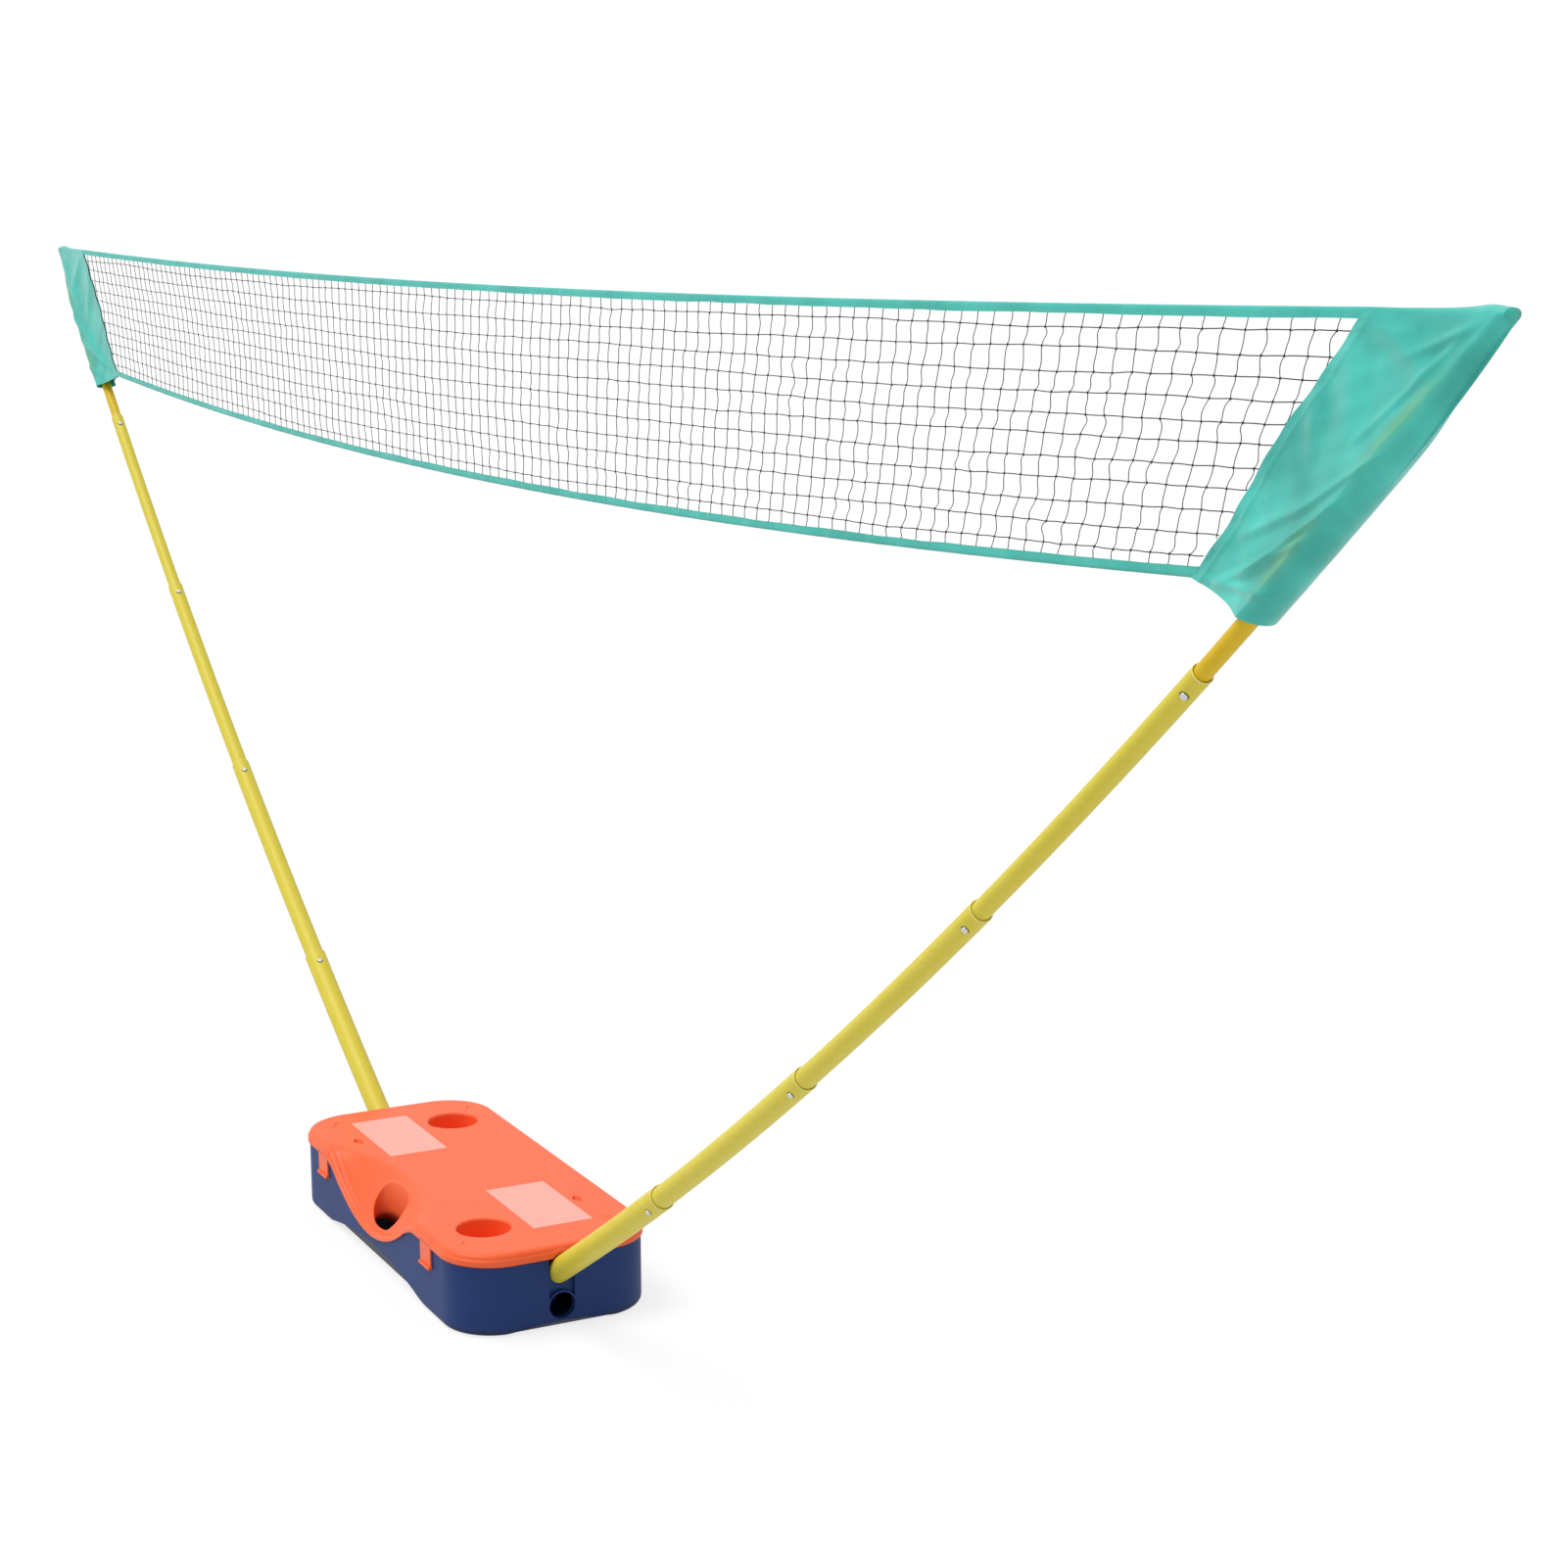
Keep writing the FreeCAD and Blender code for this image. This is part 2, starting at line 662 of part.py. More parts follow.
def net_strip(lower, upper, thickness, holes=()):
    """A flat piece of the net between two of its level lines, with gaps."""
    edges = [Part.Arc(*[net_point(u, *lower) for u in (-1, 0, 1)]).toShape(),
             Part.makeLine(net_point(1, *lower), net_point(1, *upper)),
             Part.Arc(*[net_point(u, *upper) for u in (1, 0, -1)]).toShape(),
             Part.makeLine(net_point(-1, *upper), net_point(-1, *lower))]
    face = Part.makeFace([Part.Wire(edges)] + list(holes), "Part::FaceMakerBullseye")
    solid = face.extrude(Vector(0, thickness, 0))
    solid.translate(Vector(0, -thickness / 2, 0))
    return solid


def netting():
    edge = tape_width + sewn_gap
    u_cord = mesh_cord / net_top_half / 2
    v_cord = mesh_cord / (net_top_z - net_bottom_z) / 2
    holes = []
    for column in range(mesh_columns):
        u0 = -1 + 2 * column / mesh_columns + u_cord
        u1 = -1 + 2 * (column + 1) / mesh_columns - u_cord
        for row in range(mesh_rows):
            v0 = row / mesh_rows + v_cord
            v1 = (row + 1) / mesh_rows - v_cord
            around = ((u0, v0), (u1, v0), (u1, v1), (u0, v1))
            corners = [net_point(u, v, edge * (1 - 2 * v)) for u, v in around]
            holes.append(Part.makePolygon(corners + corners[:1]))
    return net_strip((0, edge), (1, -edge), mesh_thickness, holes)


def top_tape():
    return net_strip((1, -tape_width), (1, 0), tape_thickness)


def bottom_tape():
    return net_strip((0, 0), (0, tape_width), tape_thickness)


def pocket():
    """A straight cloth sleeve, wide enough for the pole's bow and closed at its tip, with a flat web that is
    sewn to the end of the net."""
    closed = pole_tip + cap_dome + pocket_clearance
    length = closed - pocket_bottom
    middle = (closed + pocket_bottom) / 2
    rise = bow_radius * (1 - math.cos(length / 2 / bow_radius))
    direction = bow_direction(middle)
    inward = Vector(-direction.z, 0, direction.x)
    start = bow_point(middle) + inward * (rise / 2) - direction * (length / 2)
    inside = radii[-1] + rise / 2 + pocket_clearance
    outside = inside + pocket_wall
    sleeve = rod(start, direction, outside, length + pocket_wall)
    tip = start + direction * length
    corners = [net_top_corner, net_bottom_corner, start, tip]
    outline = Part.makePolygon([Vector(p.x, -pocket_web / 2, p.z) for p in corners + corners[:1]])
    web = Part.Face(outline).extrude(Vector(0, pocket_web, 0))
    hollow = rod(start - direction * well_beyond, direction, inside, length + well_beyond)
    return sleeve.fuse(web).removeSplitter().cut(hollow)


def save(name, shape):
    shape.exportStep("parts/" + name + ".step")
    box_ = shape.optimalBoundingBox()
    print(f"{name:28s} solids {len(shape.Solids)} valid {shape.isValid()} "
          f"volume {shape.Volume / 1000:9.2f} cm3 "
          f"z {box_.ZMin:8.1f} {box_.ZMax:8.1f} x {box_.XMin:8.1f} {box_.XMax:8.1f} "
          f"y {box_.YMin:7.1f} {box_.YMax:7.1f}")


def main():
    os.makedirs("parts", exist_ok=True)
    save("tray", tray())
    save("lid", lid())
    save("hinge_pins", hinge_pins())
    save("socket_screws", socket_screws())
    for name, centre in label_centres.items():
        save(name, label(centre))
    for side, turn in (("right", lambda s: s), ("left", mirrored)):
        x = latch_x if side == "right" else -latch_x
        save(side + "_latch", latch(x))
        save(side + "_pole_socket", turn(pole_socket()))
        save(side + "_foot_plug", turn(foot_plug()))
        save(side + "_tip_cap", turn(tip_cap()))
        save(side + "_pocket", turn(pocket()))
        for index in range(section_count):
            save(f"{side}_pole_section_{index + 1}", turn(pole_section(index, side)))
        for joint in range(len(joints_along)):
            save(f"{side}_snap_button_{joint + 1}", turn(snap_button(joint, side)))
            save(f"{side}_snap_spring_{joint + 1}", turn(snap_spring(joint, side)))
    save("netting", netting())
    save("top_tape", top_tape())
    save("bottom_tape", bottom_tape())


main()
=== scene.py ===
"""Dresses the portable net set: cloth pockets, tapes and knotted netting in place of their plain solids, and
finishes for the case, the poles and the small parts. Metres, in the part's own frame."""
import math

import bmesh
import bpy
import numpy as np
from mathutils import Matrix, Vector
from mathutils.geometry import delaunay_2d_cdt


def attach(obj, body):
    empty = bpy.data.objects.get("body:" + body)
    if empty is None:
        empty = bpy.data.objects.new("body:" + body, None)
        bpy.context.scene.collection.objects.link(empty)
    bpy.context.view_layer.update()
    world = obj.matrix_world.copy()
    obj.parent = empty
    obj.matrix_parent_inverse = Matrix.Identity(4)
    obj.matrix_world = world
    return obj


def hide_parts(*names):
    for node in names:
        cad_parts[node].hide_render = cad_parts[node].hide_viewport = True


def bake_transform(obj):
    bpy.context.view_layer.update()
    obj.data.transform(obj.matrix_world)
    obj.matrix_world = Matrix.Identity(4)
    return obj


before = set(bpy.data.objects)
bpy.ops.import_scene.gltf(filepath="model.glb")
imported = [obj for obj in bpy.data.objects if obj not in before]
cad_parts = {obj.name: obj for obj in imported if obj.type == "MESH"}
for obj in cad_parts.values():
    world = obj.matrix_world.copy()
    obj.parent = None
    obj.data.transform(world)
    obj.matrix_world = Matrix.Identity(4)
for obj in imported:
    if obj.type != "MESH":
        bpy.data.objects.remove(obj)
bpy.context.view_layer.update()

# Sizes repeated from the part's source, in metres
exit_x = 0.342
exit_z = 0.0772
exit_angle = math.radians(30.858)
bow_radius = 11.491
joints_along = [0.4107, 0.8819, 1.3530, 1.8241]
tube_radii = [0.0172, 0.01515, 0.0131, 0.01105, 0.0090]
button_from_rim = 0.026
hole_radius = 0.0044
button_turn = {"right": math.radians(40), "left": math.radians(-82)}
pocket_foot = 1.931
pole_end = 2.318
net_top_half = 2.036
net_bottom_half = 1.808
net_top_z = 1.459
net_bottom_z = 1.216
top_sag = 0.023
bottom_sag = 0.051

bow_centre = np.array([exit_x - bow_radius * math.sin(exit_angle), 0,
                       exit_z + bow_radius * math.cos(exit_angle)])
sides = {"right": 1, "left": -1}
random = np.random.RandomState(11)


# Shapes in numbers

def bow_point(along, inward=0.0):
    """A point on the right pole's bow, moved towards the net by a distance."""
    angle = exit_angle + along / bow_radius
    r = bow_radius - inward
    return bow_centre + r * np.array([math.sin(angle), 0, -math.cos(angle)])


def bow_direction(along):
    angle = exit_angle + along / bow_radius
    return np.array([math.cos(angle), 0, math.sin(angle)])


def smooth_step(t):
    t = np.clip(t, 0, 1)
    return t * t * (3 - 2 * t)


def smooth_noise(count, reach):
    """Random heights that change gently over a number of steps, from about -1 to 1."""
    rough = random.normal(size=count + 6 * reach)
    weights = np.hanning(2 * reach + 1)[1:-1] if reach > 0 else np.ones(1)
    soft = np.convolve(rough, weights, "same")[3 * reach:3 * reach + count]
    return soft / (np.abs(soft).max() + 1e-9)


def net_top(x):
    return net_top_z - top_sag * (1 - (x / net_top_half) ** 2)


def net_bottom(x):
    return net_bottom_z - bottom_sag * (1 - (x / net_bottom_half) ** 2)


def seam_half(share):
    """How far out the net's sewn end is, at a share of its height. The gathered seam isn't quite straight."""
    straight = net_bottom_half + (net_top_half - net_bottom_half) * share
    pull = 0.006 * np.exp(-((share - 0.55) / 0.16) ** 2) - 0.003 * np.exp(-((share - 0.2) / 0.1) ** 2)
    return straight - pull


def new_piece(name, points, faces, material, body=None, smooth=True):
    """A mesh of the object. It rides on a body, or is given none where it will bend between two."""
    mesh = bpy.data.meshes.new(name)
    mesh.from_pydata([tuple(p) for p in points], [], faces)
    mesh.materials.append(material)
    if smooth:
        mesh.shade_smooth()
    obj = bpy.data.objects.new(name, mesh)
    bpy.context.scene.collection.objects.link(obj)
    if body:
        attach(obj, body)
    return obj


def grid_faces(rows, columns, first=0, close=False):
    """Four-sided faces of a grid of points, row by row; close joins the last column to the first."""
    faces = []
    for r in range(rows - 1):
        for c in range(columns if close else columns - 1):
            a = first + r * columns + c
            b = first + r * columns + (c + 1) % columns
            faces.append((a, b, b + columns, a + columns))
    return faces


# Finishes

wave_turn = 6.2832


def srgb(code):
    """A hex colour as the linear numbers that the shader reads."""
    parts = [int(code[i:i + 2], 16) / 255 for i in (1, 3, 5)]
    return [p / 12.92 if p <= 0.04045 else ((p + 0.055) / 1.055) ** 2.4 for p in parts] + [1.0]


def node(tree, kind, sockets=None, **settings):
    """Adds a node with its settings. A socket that is given another node's output is linked to it."""
    new = tree.nodes.new(kind)
    for name, value in settings.items():
        setattr(new, name, value)
    for name, value in (sockets or {}).items():
        if isinstance(value, bpy.types.NodeSocket):
            tree.links.new(value, new.inputs[name])
        else:
            new.inputs[name].default_value = value
    return new


def finish_of(name, **surface):
    """A new material with its surface shader; the words are the shader's sockets with _ for a space."""
    material = bpy.data.materials.new(name)
    material.use_nodes = True
    tree = material.node_tree
    shader = tree.nodes["Principled BSDF"]
    for socket, value in surface.items():
        shader.inputs[socket.replace("_", " ").title().replace("Ior", "IOR")].default_value = value
    return material, tree, shader


def moulded(name, colour, worn, roughness, underside_shade="#000000", grain=0.0016):
    """Injection-moulded polypropylene: waxy, with a fine spark-eroded grain that breaks the highlight,
    slightly cloudy colour, and painted shade that darkens the faces turned downward. Grain of 0.3 mm is drawn
    at 1.6 mm to show."""
    material, tree, shader = finish_of(name, roughness=roughness, ior=1.49, specular_ior_level=0.28)
    place = node(tree, "ShaderNodeTexCoord").outputs["Object"]
    cloud = node(tree, "ShaderNodeTexNoise", {"Vector": place, "Scale": 9.0, "Detail": 3.0})
    tint = node(tree, "ShaderNodeMix", {"Factor": cloud.outputs["Fac"], "A": srgb(colour), "B": srgb(worn)},
                data_type="RGBA")
    soft = node(tree, "ShaderNodeMix", {"Factor": 0.25, "A": srgb(colour), "B": tint.outputs["Result"]},
                data_type="RGBA")
    # Painted shade: faces that look down blend towards the darker underside colour, up to 85 %.
    normal = node(tree, "ShaderNodeNewGeometry").outputs["Normal"]
    faces = node(tree, "ShaderNodeSeparateXYZ", {"Vector": normal})
    painted_shade_share = node(tree, "ShaderNodeMapRange", {"Value": faces.outputs["Z"], "From Min": -0.1,
                                              "From Max": -0.45, "To Max": 0.85})
    shaded = node(tree, "ShaderNodeMix", {"Factor": painted_shade_share.outputs["Result"], "A": soft.outputs["Result"],
                                          "B": srgb(underside_shade)}, data_type="RGBA")
    tree.links.new(shaded.outputs["Result"], shader.inputs["Base Color"])
    grit = node(tree, "ShaderNodeTexNoise", {"Vector": place, "Scale": 1 / grain, "Detail": 2.0})
    bump = node(tree, "ShaderNodeBump", {"Height": grit.outputs["Fac"], "Strength": 0.12, "Distance": 0.0004})
    tree.links.new(bump.outputs["Normal"], shader.inputs["Normal"])
    return material


def coated_tube(name, colour, worn):
    """Powder-coated steel tube: an even satin skin with faint orange peel, about 2 mm from bump to bump, and
    long pale rubs where one section has slid inside the next."""
    material, tree, shader = finish_of(name, roughness=0.45, ior=1.5, specular_ior_level=0.3)
    place = node(tree, "ShaderNodeTexCoord").outputs["Object"]
    along = node(tree, "ShaderNodeMapping", {"Vector": place, "Rotation": (0, exit_angle, 0),
                                             "Scale": (2.0, 60.0, 60.0)})
    rubs = node(tree, "ShaderNodeTexNoise", {"Vector": along.outputs["Vector"], "Scale": 3.0, "Detail": 4.0})
    share = node(tree, "ShaderNodeMapRange", {"Value": rubs.outputs["Fac"], "From Min": 0.45,
                                              "From Max": 0.75, "To Max": 0.4})
    tint = node(tree, "ShaderNodeMix", {"Factor": share.outputs["Result"], "A": srgb(colour),
                                        "B": srgb(worn)}, data_type="RGBA")
    tree.links.new(tint.outputs["Result"], shader.inputs["Base Color"])
    peel = node(tree, "ShaderNodeTexNoise", {"Vector": place, "Scale": 1 / 0.002, "Detail": 1.0})
    bump = node(tree, "ShaderNodeBump", {"Height": peel.outputs["Fac"], "Strength": 0.08, "Distance": 0.0003})
    tree.links.new(bump.outputs["Normal"], shader.inputs["Normal"])
    return material


def woven(name, colour, painted_shade_colour, thread, roughness, sheen):
    """Polyester cloth: a plain weave of crossing threads, with a soft sheen and cloudy patches of painted
    shade, a darker copy of its colour, spread at random.
    Threads of 0.2 mm are drawn coarser, so that the weave shows."""
    material, tree, shader = finish_of(name, roughness=roughness, ior=1.5, sheen_weight=sheen,
                                       sheen_roughness=0.35)
    place = node(tree, "ShaderNodeTexCoord").outputs["Object"]
    scale = 1 / thread / wave_turn * 2
    across, upright = [node(tree, "ShaderNodeTexWave", {"Vector": place, "Scale": scale, "Distortion": 0.6},
                            bands_direction=way) for way in "XZ"]
    weave = node(tree, "ShaderNodeMath", {0: across.outputs["Fac"], 1: upright.outputs["Fac"]},
                 operation="MAXIMUM")
    cloud = node(tree, "ShaderNodeTexNoise", {"Vector": place, "Scale": 13.0, "Detail": 4.0})
    # Painted shade: noise blends the cloth's colour with a darker shaded copy of it, in patches.
    share = node(tree, "ShaderNodeMapRange", {"Value": cloud.outputs["Fac"], "From Min": 0.35,
                                              "From Max": 0.7})
    tint = node(tree, "ShaderNodeMix", {"Factor": share.outputs["Result"], "A": srgb(painted_shade_colour),
                                        "B": srgb(colour)}, data_type="RGBA")
    tree.links.new(tint.outputs["Result"], shader.inputs["Base Color"])
    bump = node(tree, "ShaderNodeBump", {"Height": weave.outputs["Value"], "Strength": 0.15,
                                         "Distance": 0.0003})
    tree.links.new(bump.outputs["Normal"], shader.inputs["Normal"])
    return material, tree, shader, tint


def pocket_satin():
    """Thin polyester satin: a bright soft sheen on its folds, and a greener streak of painted shade and
    painted show-through where the yellow pole lies behind it."""
    # The second colour is the painted shade.
    material, tree, shader, tint = woven("pocket_satin", "#44D2C3", "#27AFA1", 0.0011, 0.34, 0.3)
    # Painted shade and show-through: a greener colour laid along the pole from a stored attribute.
    painted_streak = node(tree, "ShaderNodeAttribute", attribute_name="painted_pole_streak")
    through = node(tree, "ShaderNodeMix", {"Factor": painted_streak.outputs["Fac"], "A": tint.outputs["Result"],
                                           "B": srgb("#5DAF7E")}, data_type="RGBA")
    tree.links.new(through.outputs["Result"], shader.inputs["Base Color"])
    return material


def bright_steel():
    """Nickel-plated spring steel: bright, with fine drawing lines 0.2 mm apart that spread the highlight."""
    material, tree, shader = finish_of("nickel_plated_steel", metallic=1.0, roughness=0.24,
                                       base_color=srgb("#C9CACB"))
    place = node(tree, "ShaderNodeTexCoord").outputs["Object"]
    stretched = node(tree, "ShaderNodeMapping", {"Vector": place, "Scale": (400.0, 5000.0, 400.0)})
    lines = node(tree, "ShaderNodeTexNoise", {"Vector": stretched.outputs["Vector"], "Scale": 1.0})
    rough = node(tree, "ShaderNodeMapRange", {"Value": lines.outputs["Fac"], "To Min": 0.16, "To Max": 0.34})
    tree.links.new(rough.outputs["Result"], shader.inputs["Roughness"])
    return material


def nylon_twine():
    """Tarred-look nylon twine: nearly black, dull, with the twist of its strands every 1.5 mm."""
    material, tree, shader = finish_of("nylon_twine", roughness=0.65, ior=1.53, base_color=srgb("#15161A"))
    place = node(tree, "ShaderNodeTexCoord").outputs["Object"]
    twist = node(tree, "ShaderNodeTexWave", {"Vector": place, "Scale": 1 / 0.0015 / wave_turn * 2},
                 bands_direction="DIAGONAL")
    bump = node(tree, "ShaderNodeBump", {"Height": twist.outputs["Fac"], "Strength": 0.3, "Distance": 0.0002})
    tree.links.new(bump.outputs["Normal"], shader.inputs["Normal"])
    return material


def label_film():
    """Printed polyester film stuck on the lid: a paler tint of the lid, smoother than it, with a faint mottle
    where the grain below shows."""
    material, tree, shader = finish_of("label_film", roughness=0.38, ior=1.5)
    place = node(tree, "ShaderNodeTexCoord").outputs["Object"]
    mottle = node(tree, "ShaderNodeTexNoise", {"Vector": place, "Scale": 60.0, "Detail": 4.0})
    tint = node(tree, "ShaderNodeMix", {"Factor": mottle.outputs["Fac"], "A": srgb("#FFA392"),
                                        "B": srgb("#FFB0A3")}, data_type="RGBA")
    tree.links.new(tint.outputs["Result"], shader.inputs["Base Color"])
    return material


# The last colour given to each moulding is the painted shade for its undersides.
orange_polypropylene = moulded("orange_polypropylene", "#FF6634", "#FF7D50", 0.42, underside_shade="#C23A18")
navy_polypropylene = moulded("navy_polypropylene", "#15336D", "#1E4080", 0.55, underside_shade="#06080D")
black_polypropylene = moulded("black_polypropylene", "#1D1E21", "#2B2C30", 0.5, underside_shade="#0C0C0E")
pale_yellow_coating = coated_tube("pale_yellow_powder_coat", "#DFCE3E", "#E8DB60")
gold_coating = coated_tube("golden_powder_coat", "#E2BC0C", "#E8C82C")
bright_steel_finish = bright_steel()
# The second colour is the painted shade.
tape_cloth = woven("tape_polyester_weave", "#4CCBBD", "#39B7AA", 0.0012, 0.6, 0.2)[0]
satin_cloth = pocket_satin()
twine = nylon_twine()
film = label_film()
# Painted shade: a dull dark ring stands in for the shadow in the gap round each snap button.
painted_gap_shade = finish_of("painted_shade_round_snap_button", metallic=0.6, roughness=0.5,
                              base_color=srgb("#4A4620"))[0]
# Painted highlight: a pale ring along each tube's rim, where the edge catches the light.
painted_rim_highlight = coated_tube("painted_highlight_on_tube_rim", "#F4EE9A", "#FAF6C0")

finishes = {"tray": navy_polypropylene, "lid": orange_polypropylene, "latch": orange_polypropylene,
            "pole_socket": navy_polypropylene, "foot_plug": black_polypropylene,
            "tip_cap": black_polypropylene, "pole_section": pale_yellow_coating, "snap": bright_steel_finish,
            "hinge_pins": bright_steel_finish, "socket_screws": bright_steel_finish, "label": film}
for name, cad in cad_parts.items():
    for key, material in finishes.items():
        if key in name:
            cad.data.materials.clear()
            cad.data.materials.append(gold_coating if name.endswith("pole_section_5") else material)
            break


# Netting

net_columns = 133
net_rows = 11
edge_rows = 0.6
twine_radius = 0.00055
knot_radius = 0.0019
string_lean = 0.36
steps_per_cell = 6
sewn_in = 0.003
tape_cover = 0.0085


def row_share(row):
    """The height of a level string as a share of the net between its tapes."""
    return (edge_rows + row) / (net_rows - 1 + 2 * edge_rows)


def net_place(x, share, belly):
    """A point of the net, between the inner edges of its tapes."""
    low = net_bottom(x) + tape_cover
    high = net_top(x) - tape_cover
    return np.stack([x, belly, low + (high - low) * share], axis=-1)


def string_tube(line, radius, points, faces):
    """Adds a four-sided tube along a line of points."""
    run = np.gradient(line, axis=0)
    run /= np.linalg.norm(run, axis=1, keepdims=True)
    out = np.array([0.0, 1.0, 0.0])
    side = np.cross(run, out)
    side /= np.linalg.norm(side, axis=1, keepdims=True)
    ring = np.stack([side, np.tile(out, (len(line), 1)), -side, -np.tile(out, (len(line), 1))], axis=1)
    first = len(points)
    points.extend((line[:, None, :] + radius * ring).reshape(-1, 3))
    faces.extend(grid_faces(len(line), 4, first, close=True))
    last = first + 4 * (len(line) - 1)
    faces.append((first, first + 3, first + 2, first + 1))
    faces.append((last, last + 1, last + 2, last + 3))


def add_knot(centre, points, faces):
    first = len(points)
    r = knot_radius
    for d in ((r, 0, 0), (-r, 0, 0), (0, r, 0), (0, -r, 0), (0, 0, 0.9 * r), (0, 0, -0.9 * r)):
        points.append(centre + np.array(d))
    for a, b, c in ((0, 2, 4), (2, 1, 4), (1, 3, 4), (3, 0, 4), (2, 0, 5), (1, 2, 5), (3, 1, 5), (0, 3, 5)):
        faces.append((first + a, first + b, first + c))


def netting_halves():
    """Knotted netting: level strings pulled nearly straight, and slack upright strings that wriggle between
    their knots, each differently. The two halves meet in the middle."""
    pitch = 2 * net_top_half / net_columns
    middle = (net_columns - 1) / 2
    upright_at = (np.arange(net_columns) - middle) * pitch
    sway = np.stack([0.0026 * smooth_noise(net_columns, 4) + 0.0022 * smooth_noise(net_columns, 1)
                     for _ in range(net_rows + 2)])
    rise = np.stack([0.0022 * smooth_noise(net_columns, 9) + 0.0009 * smooth_noise(net_columns, 0)
                     for _ in range(net_rows + 2)])
    bulge = np.stack([0.0030 * smooth_noise(net_columns, 3) + 0.0022 * smooth_noise(net_columns, 0)
                      for _ in range(net_rows + 1)])
    twist = np.stack([0.0017 * smooth_noise(net_columns, 2) for _ in range(net_rows + 1)])
    belly = 0.004 * smooth_noise(net_columns, 22)
    shares = [0.0] + [row_share(r) for r in range(net_rows)] + [1.0]
    halves = {side: ([], []) for side in sides}
    knots = np.zeros((net_columns, net_rows + 2, 3))
    for i, base in enumerate(upright_at):
        for j, share in enumerate(shares):
            edge = share in (0.0, 1.0)
            lean = 1 + string_lean * (seam_half(share) - seam_half(0.5)) / seam_half(0.5)
            x = base * lean + (0 if edge else sway[j, i])
            sewn = np.clip((seam_half(share) + 0.002 - abs(x)) / 0.05, 0, 1)
            knots[i, j] = net_place(x, share, sewn * belly[i] * math.sin(math.pi * share))
            knots[i, j, 2] += 0 if edge else rise[j, i]
    for i, base in enumerate(upright_at):
        line = []
        for j in range(len(shares) - 1):
            cell = 1.0 if 0 < j < len(shares) - 2 else edge_rows
            for k in range(steps_per_cell):
                t = k / steps_per_cell
                p = knots[i, j] * (1 - t) + knots[i, j + 1] * t
                slack = cell * (1 + 0.5 * smooth_step((base - 0.4) / 1.2))
                p[0] += slack * (bulge[j, i] * math.sin(math.pi * t)
                                 + twist[j, i] * math.sin(2 * math.pi * t))
                line.append((p, shares[j] * (1 - t) + shares[j + 1] * t))
        line.append((knots[i, -1], 1.0))
        kept = [p for p, share in line if abs(p[0]) < seam_half(share) + sewn_in]
        if len(kept) > 3:
            points, faces = halves["right" if base >= 0 else "left"]
            string_tube(np.array(kept), twine_radius, points, faces)
    for j in range(1, net_rows + 1):
        share = shares[j]
        end = seam_half(share) + sewn_in
        inside = [i for i in range(net_columns) if abs(knots[i, j, 0]) < end - 0.004]
        line = [knots[i, j] for i in inside]
        xs = [p[0] for p in line]
        dense = np.unique(np.concatenate([np.linspace(-end, end, 3 * net_columns), xs, [0.0]]))
        zs = np.interp(dense, xs, [p[2] - net_place(p[0], share, 0)[2] for p in line])
        sewn = np.clip((end - np.abs(dense)) / 0.03, 0, 1)
        level = net_place(dense, share, sewn * np.interp(dense, xs, [p[1] for p in line]))
        level[:, 2] += zs + 0.0003 * np.sin(dense * 1200 + j)
        for name, s in sides.items():
            string_tube(level[s * dense >= 0], twine_radius, *halves[name])
        for i in inside:
            name = "right" if knots[i, j, 0] >= 0 else "left"
            add_knot(knots[i, j], *halves[name])
    return halves


for name, (points, faces) in netting_halves().items():
    half = new_piece(name + "_half_of_netting", points, faces, twine, smooth=False)
    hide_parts("netting")
    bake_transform(half)


# Tapes along the net's edges

tape_height = 0.0095
tape_half_thickness = 0.0009
tape_steps = 420
# Across the folded tape: how far to the front or back, and how far in from its folded edge
tape_section = [(-1, 1.0), (-1.1, 0.7), (-1.15, 0.4), (-1.0, 0.15), (0, 0.0), (1.0, 0.15), (1.15, 0.4),
                (1.1, 0.7), (1, 1.0)]


def folded_tape(name, edge_line, inward, half_end):
    """A cloth tape folded over the edge of the netting, its free edges sewn down with the net between them.
    It puckers a little at the stitches."""
    columns = len(tape_section)
    for side, s in sides.items():
        x = np.linspace(0, half_end, tape_steps)
        ripple = 0.0007 * smooth_noise(tape_steps, 5) + 0.0004 * smooth_noise(tape_steps, 1)
        ripple *= np.clip(x / 0.01, 0, 1)
        width = tape_height * (1 + 0.08 * smooth_noise(tape_steps, 12))
        points = []
        for k in range(tape_steps):
            for y, depth in tape_section:
                pucker = 0.0002 * math.sin(x[k] * 900) * (1 if depth > 0.6 else 0)
                points.append((s * x[k], tape_half_thickness * y + ripple[k] + pucker,
                               edge_line(x[k]) + inward * depth * width[k]))
        faces = grid_faces(tape_steps, columns)
        if s < 0:
            faces = [tuple(reversed(f)) for f in faces]
        piece = new_piece(f"{side}_half_of_{name}", points, faces, tape_cloth)
        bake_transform(piece)
        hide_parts(name)


folded_tape("top_tape", net_top, -1, net_top_half + 0.004)
folded_tape("bottom_tape", net_bottom, 1, net_bottom_half + 0.009)


# Cloth pockets

pocket_rows = 150
pocket_columns = 84
pole_wrap = 0.0104
roomy_radius = 0.0196
seam_thickness = 0.0013
flange_width = 0.0095
flange_half = 0.0007
tip_overrun = 0.009
# Places that the hem and the upper edge curve through, in the net's plane
hem_through = [(1.862, 1.2034)]
upper_edge_through = [(2.10, 1.4600), (2.16, 1.4626), (2.186, 1.4650)]
fold_height = 1.3


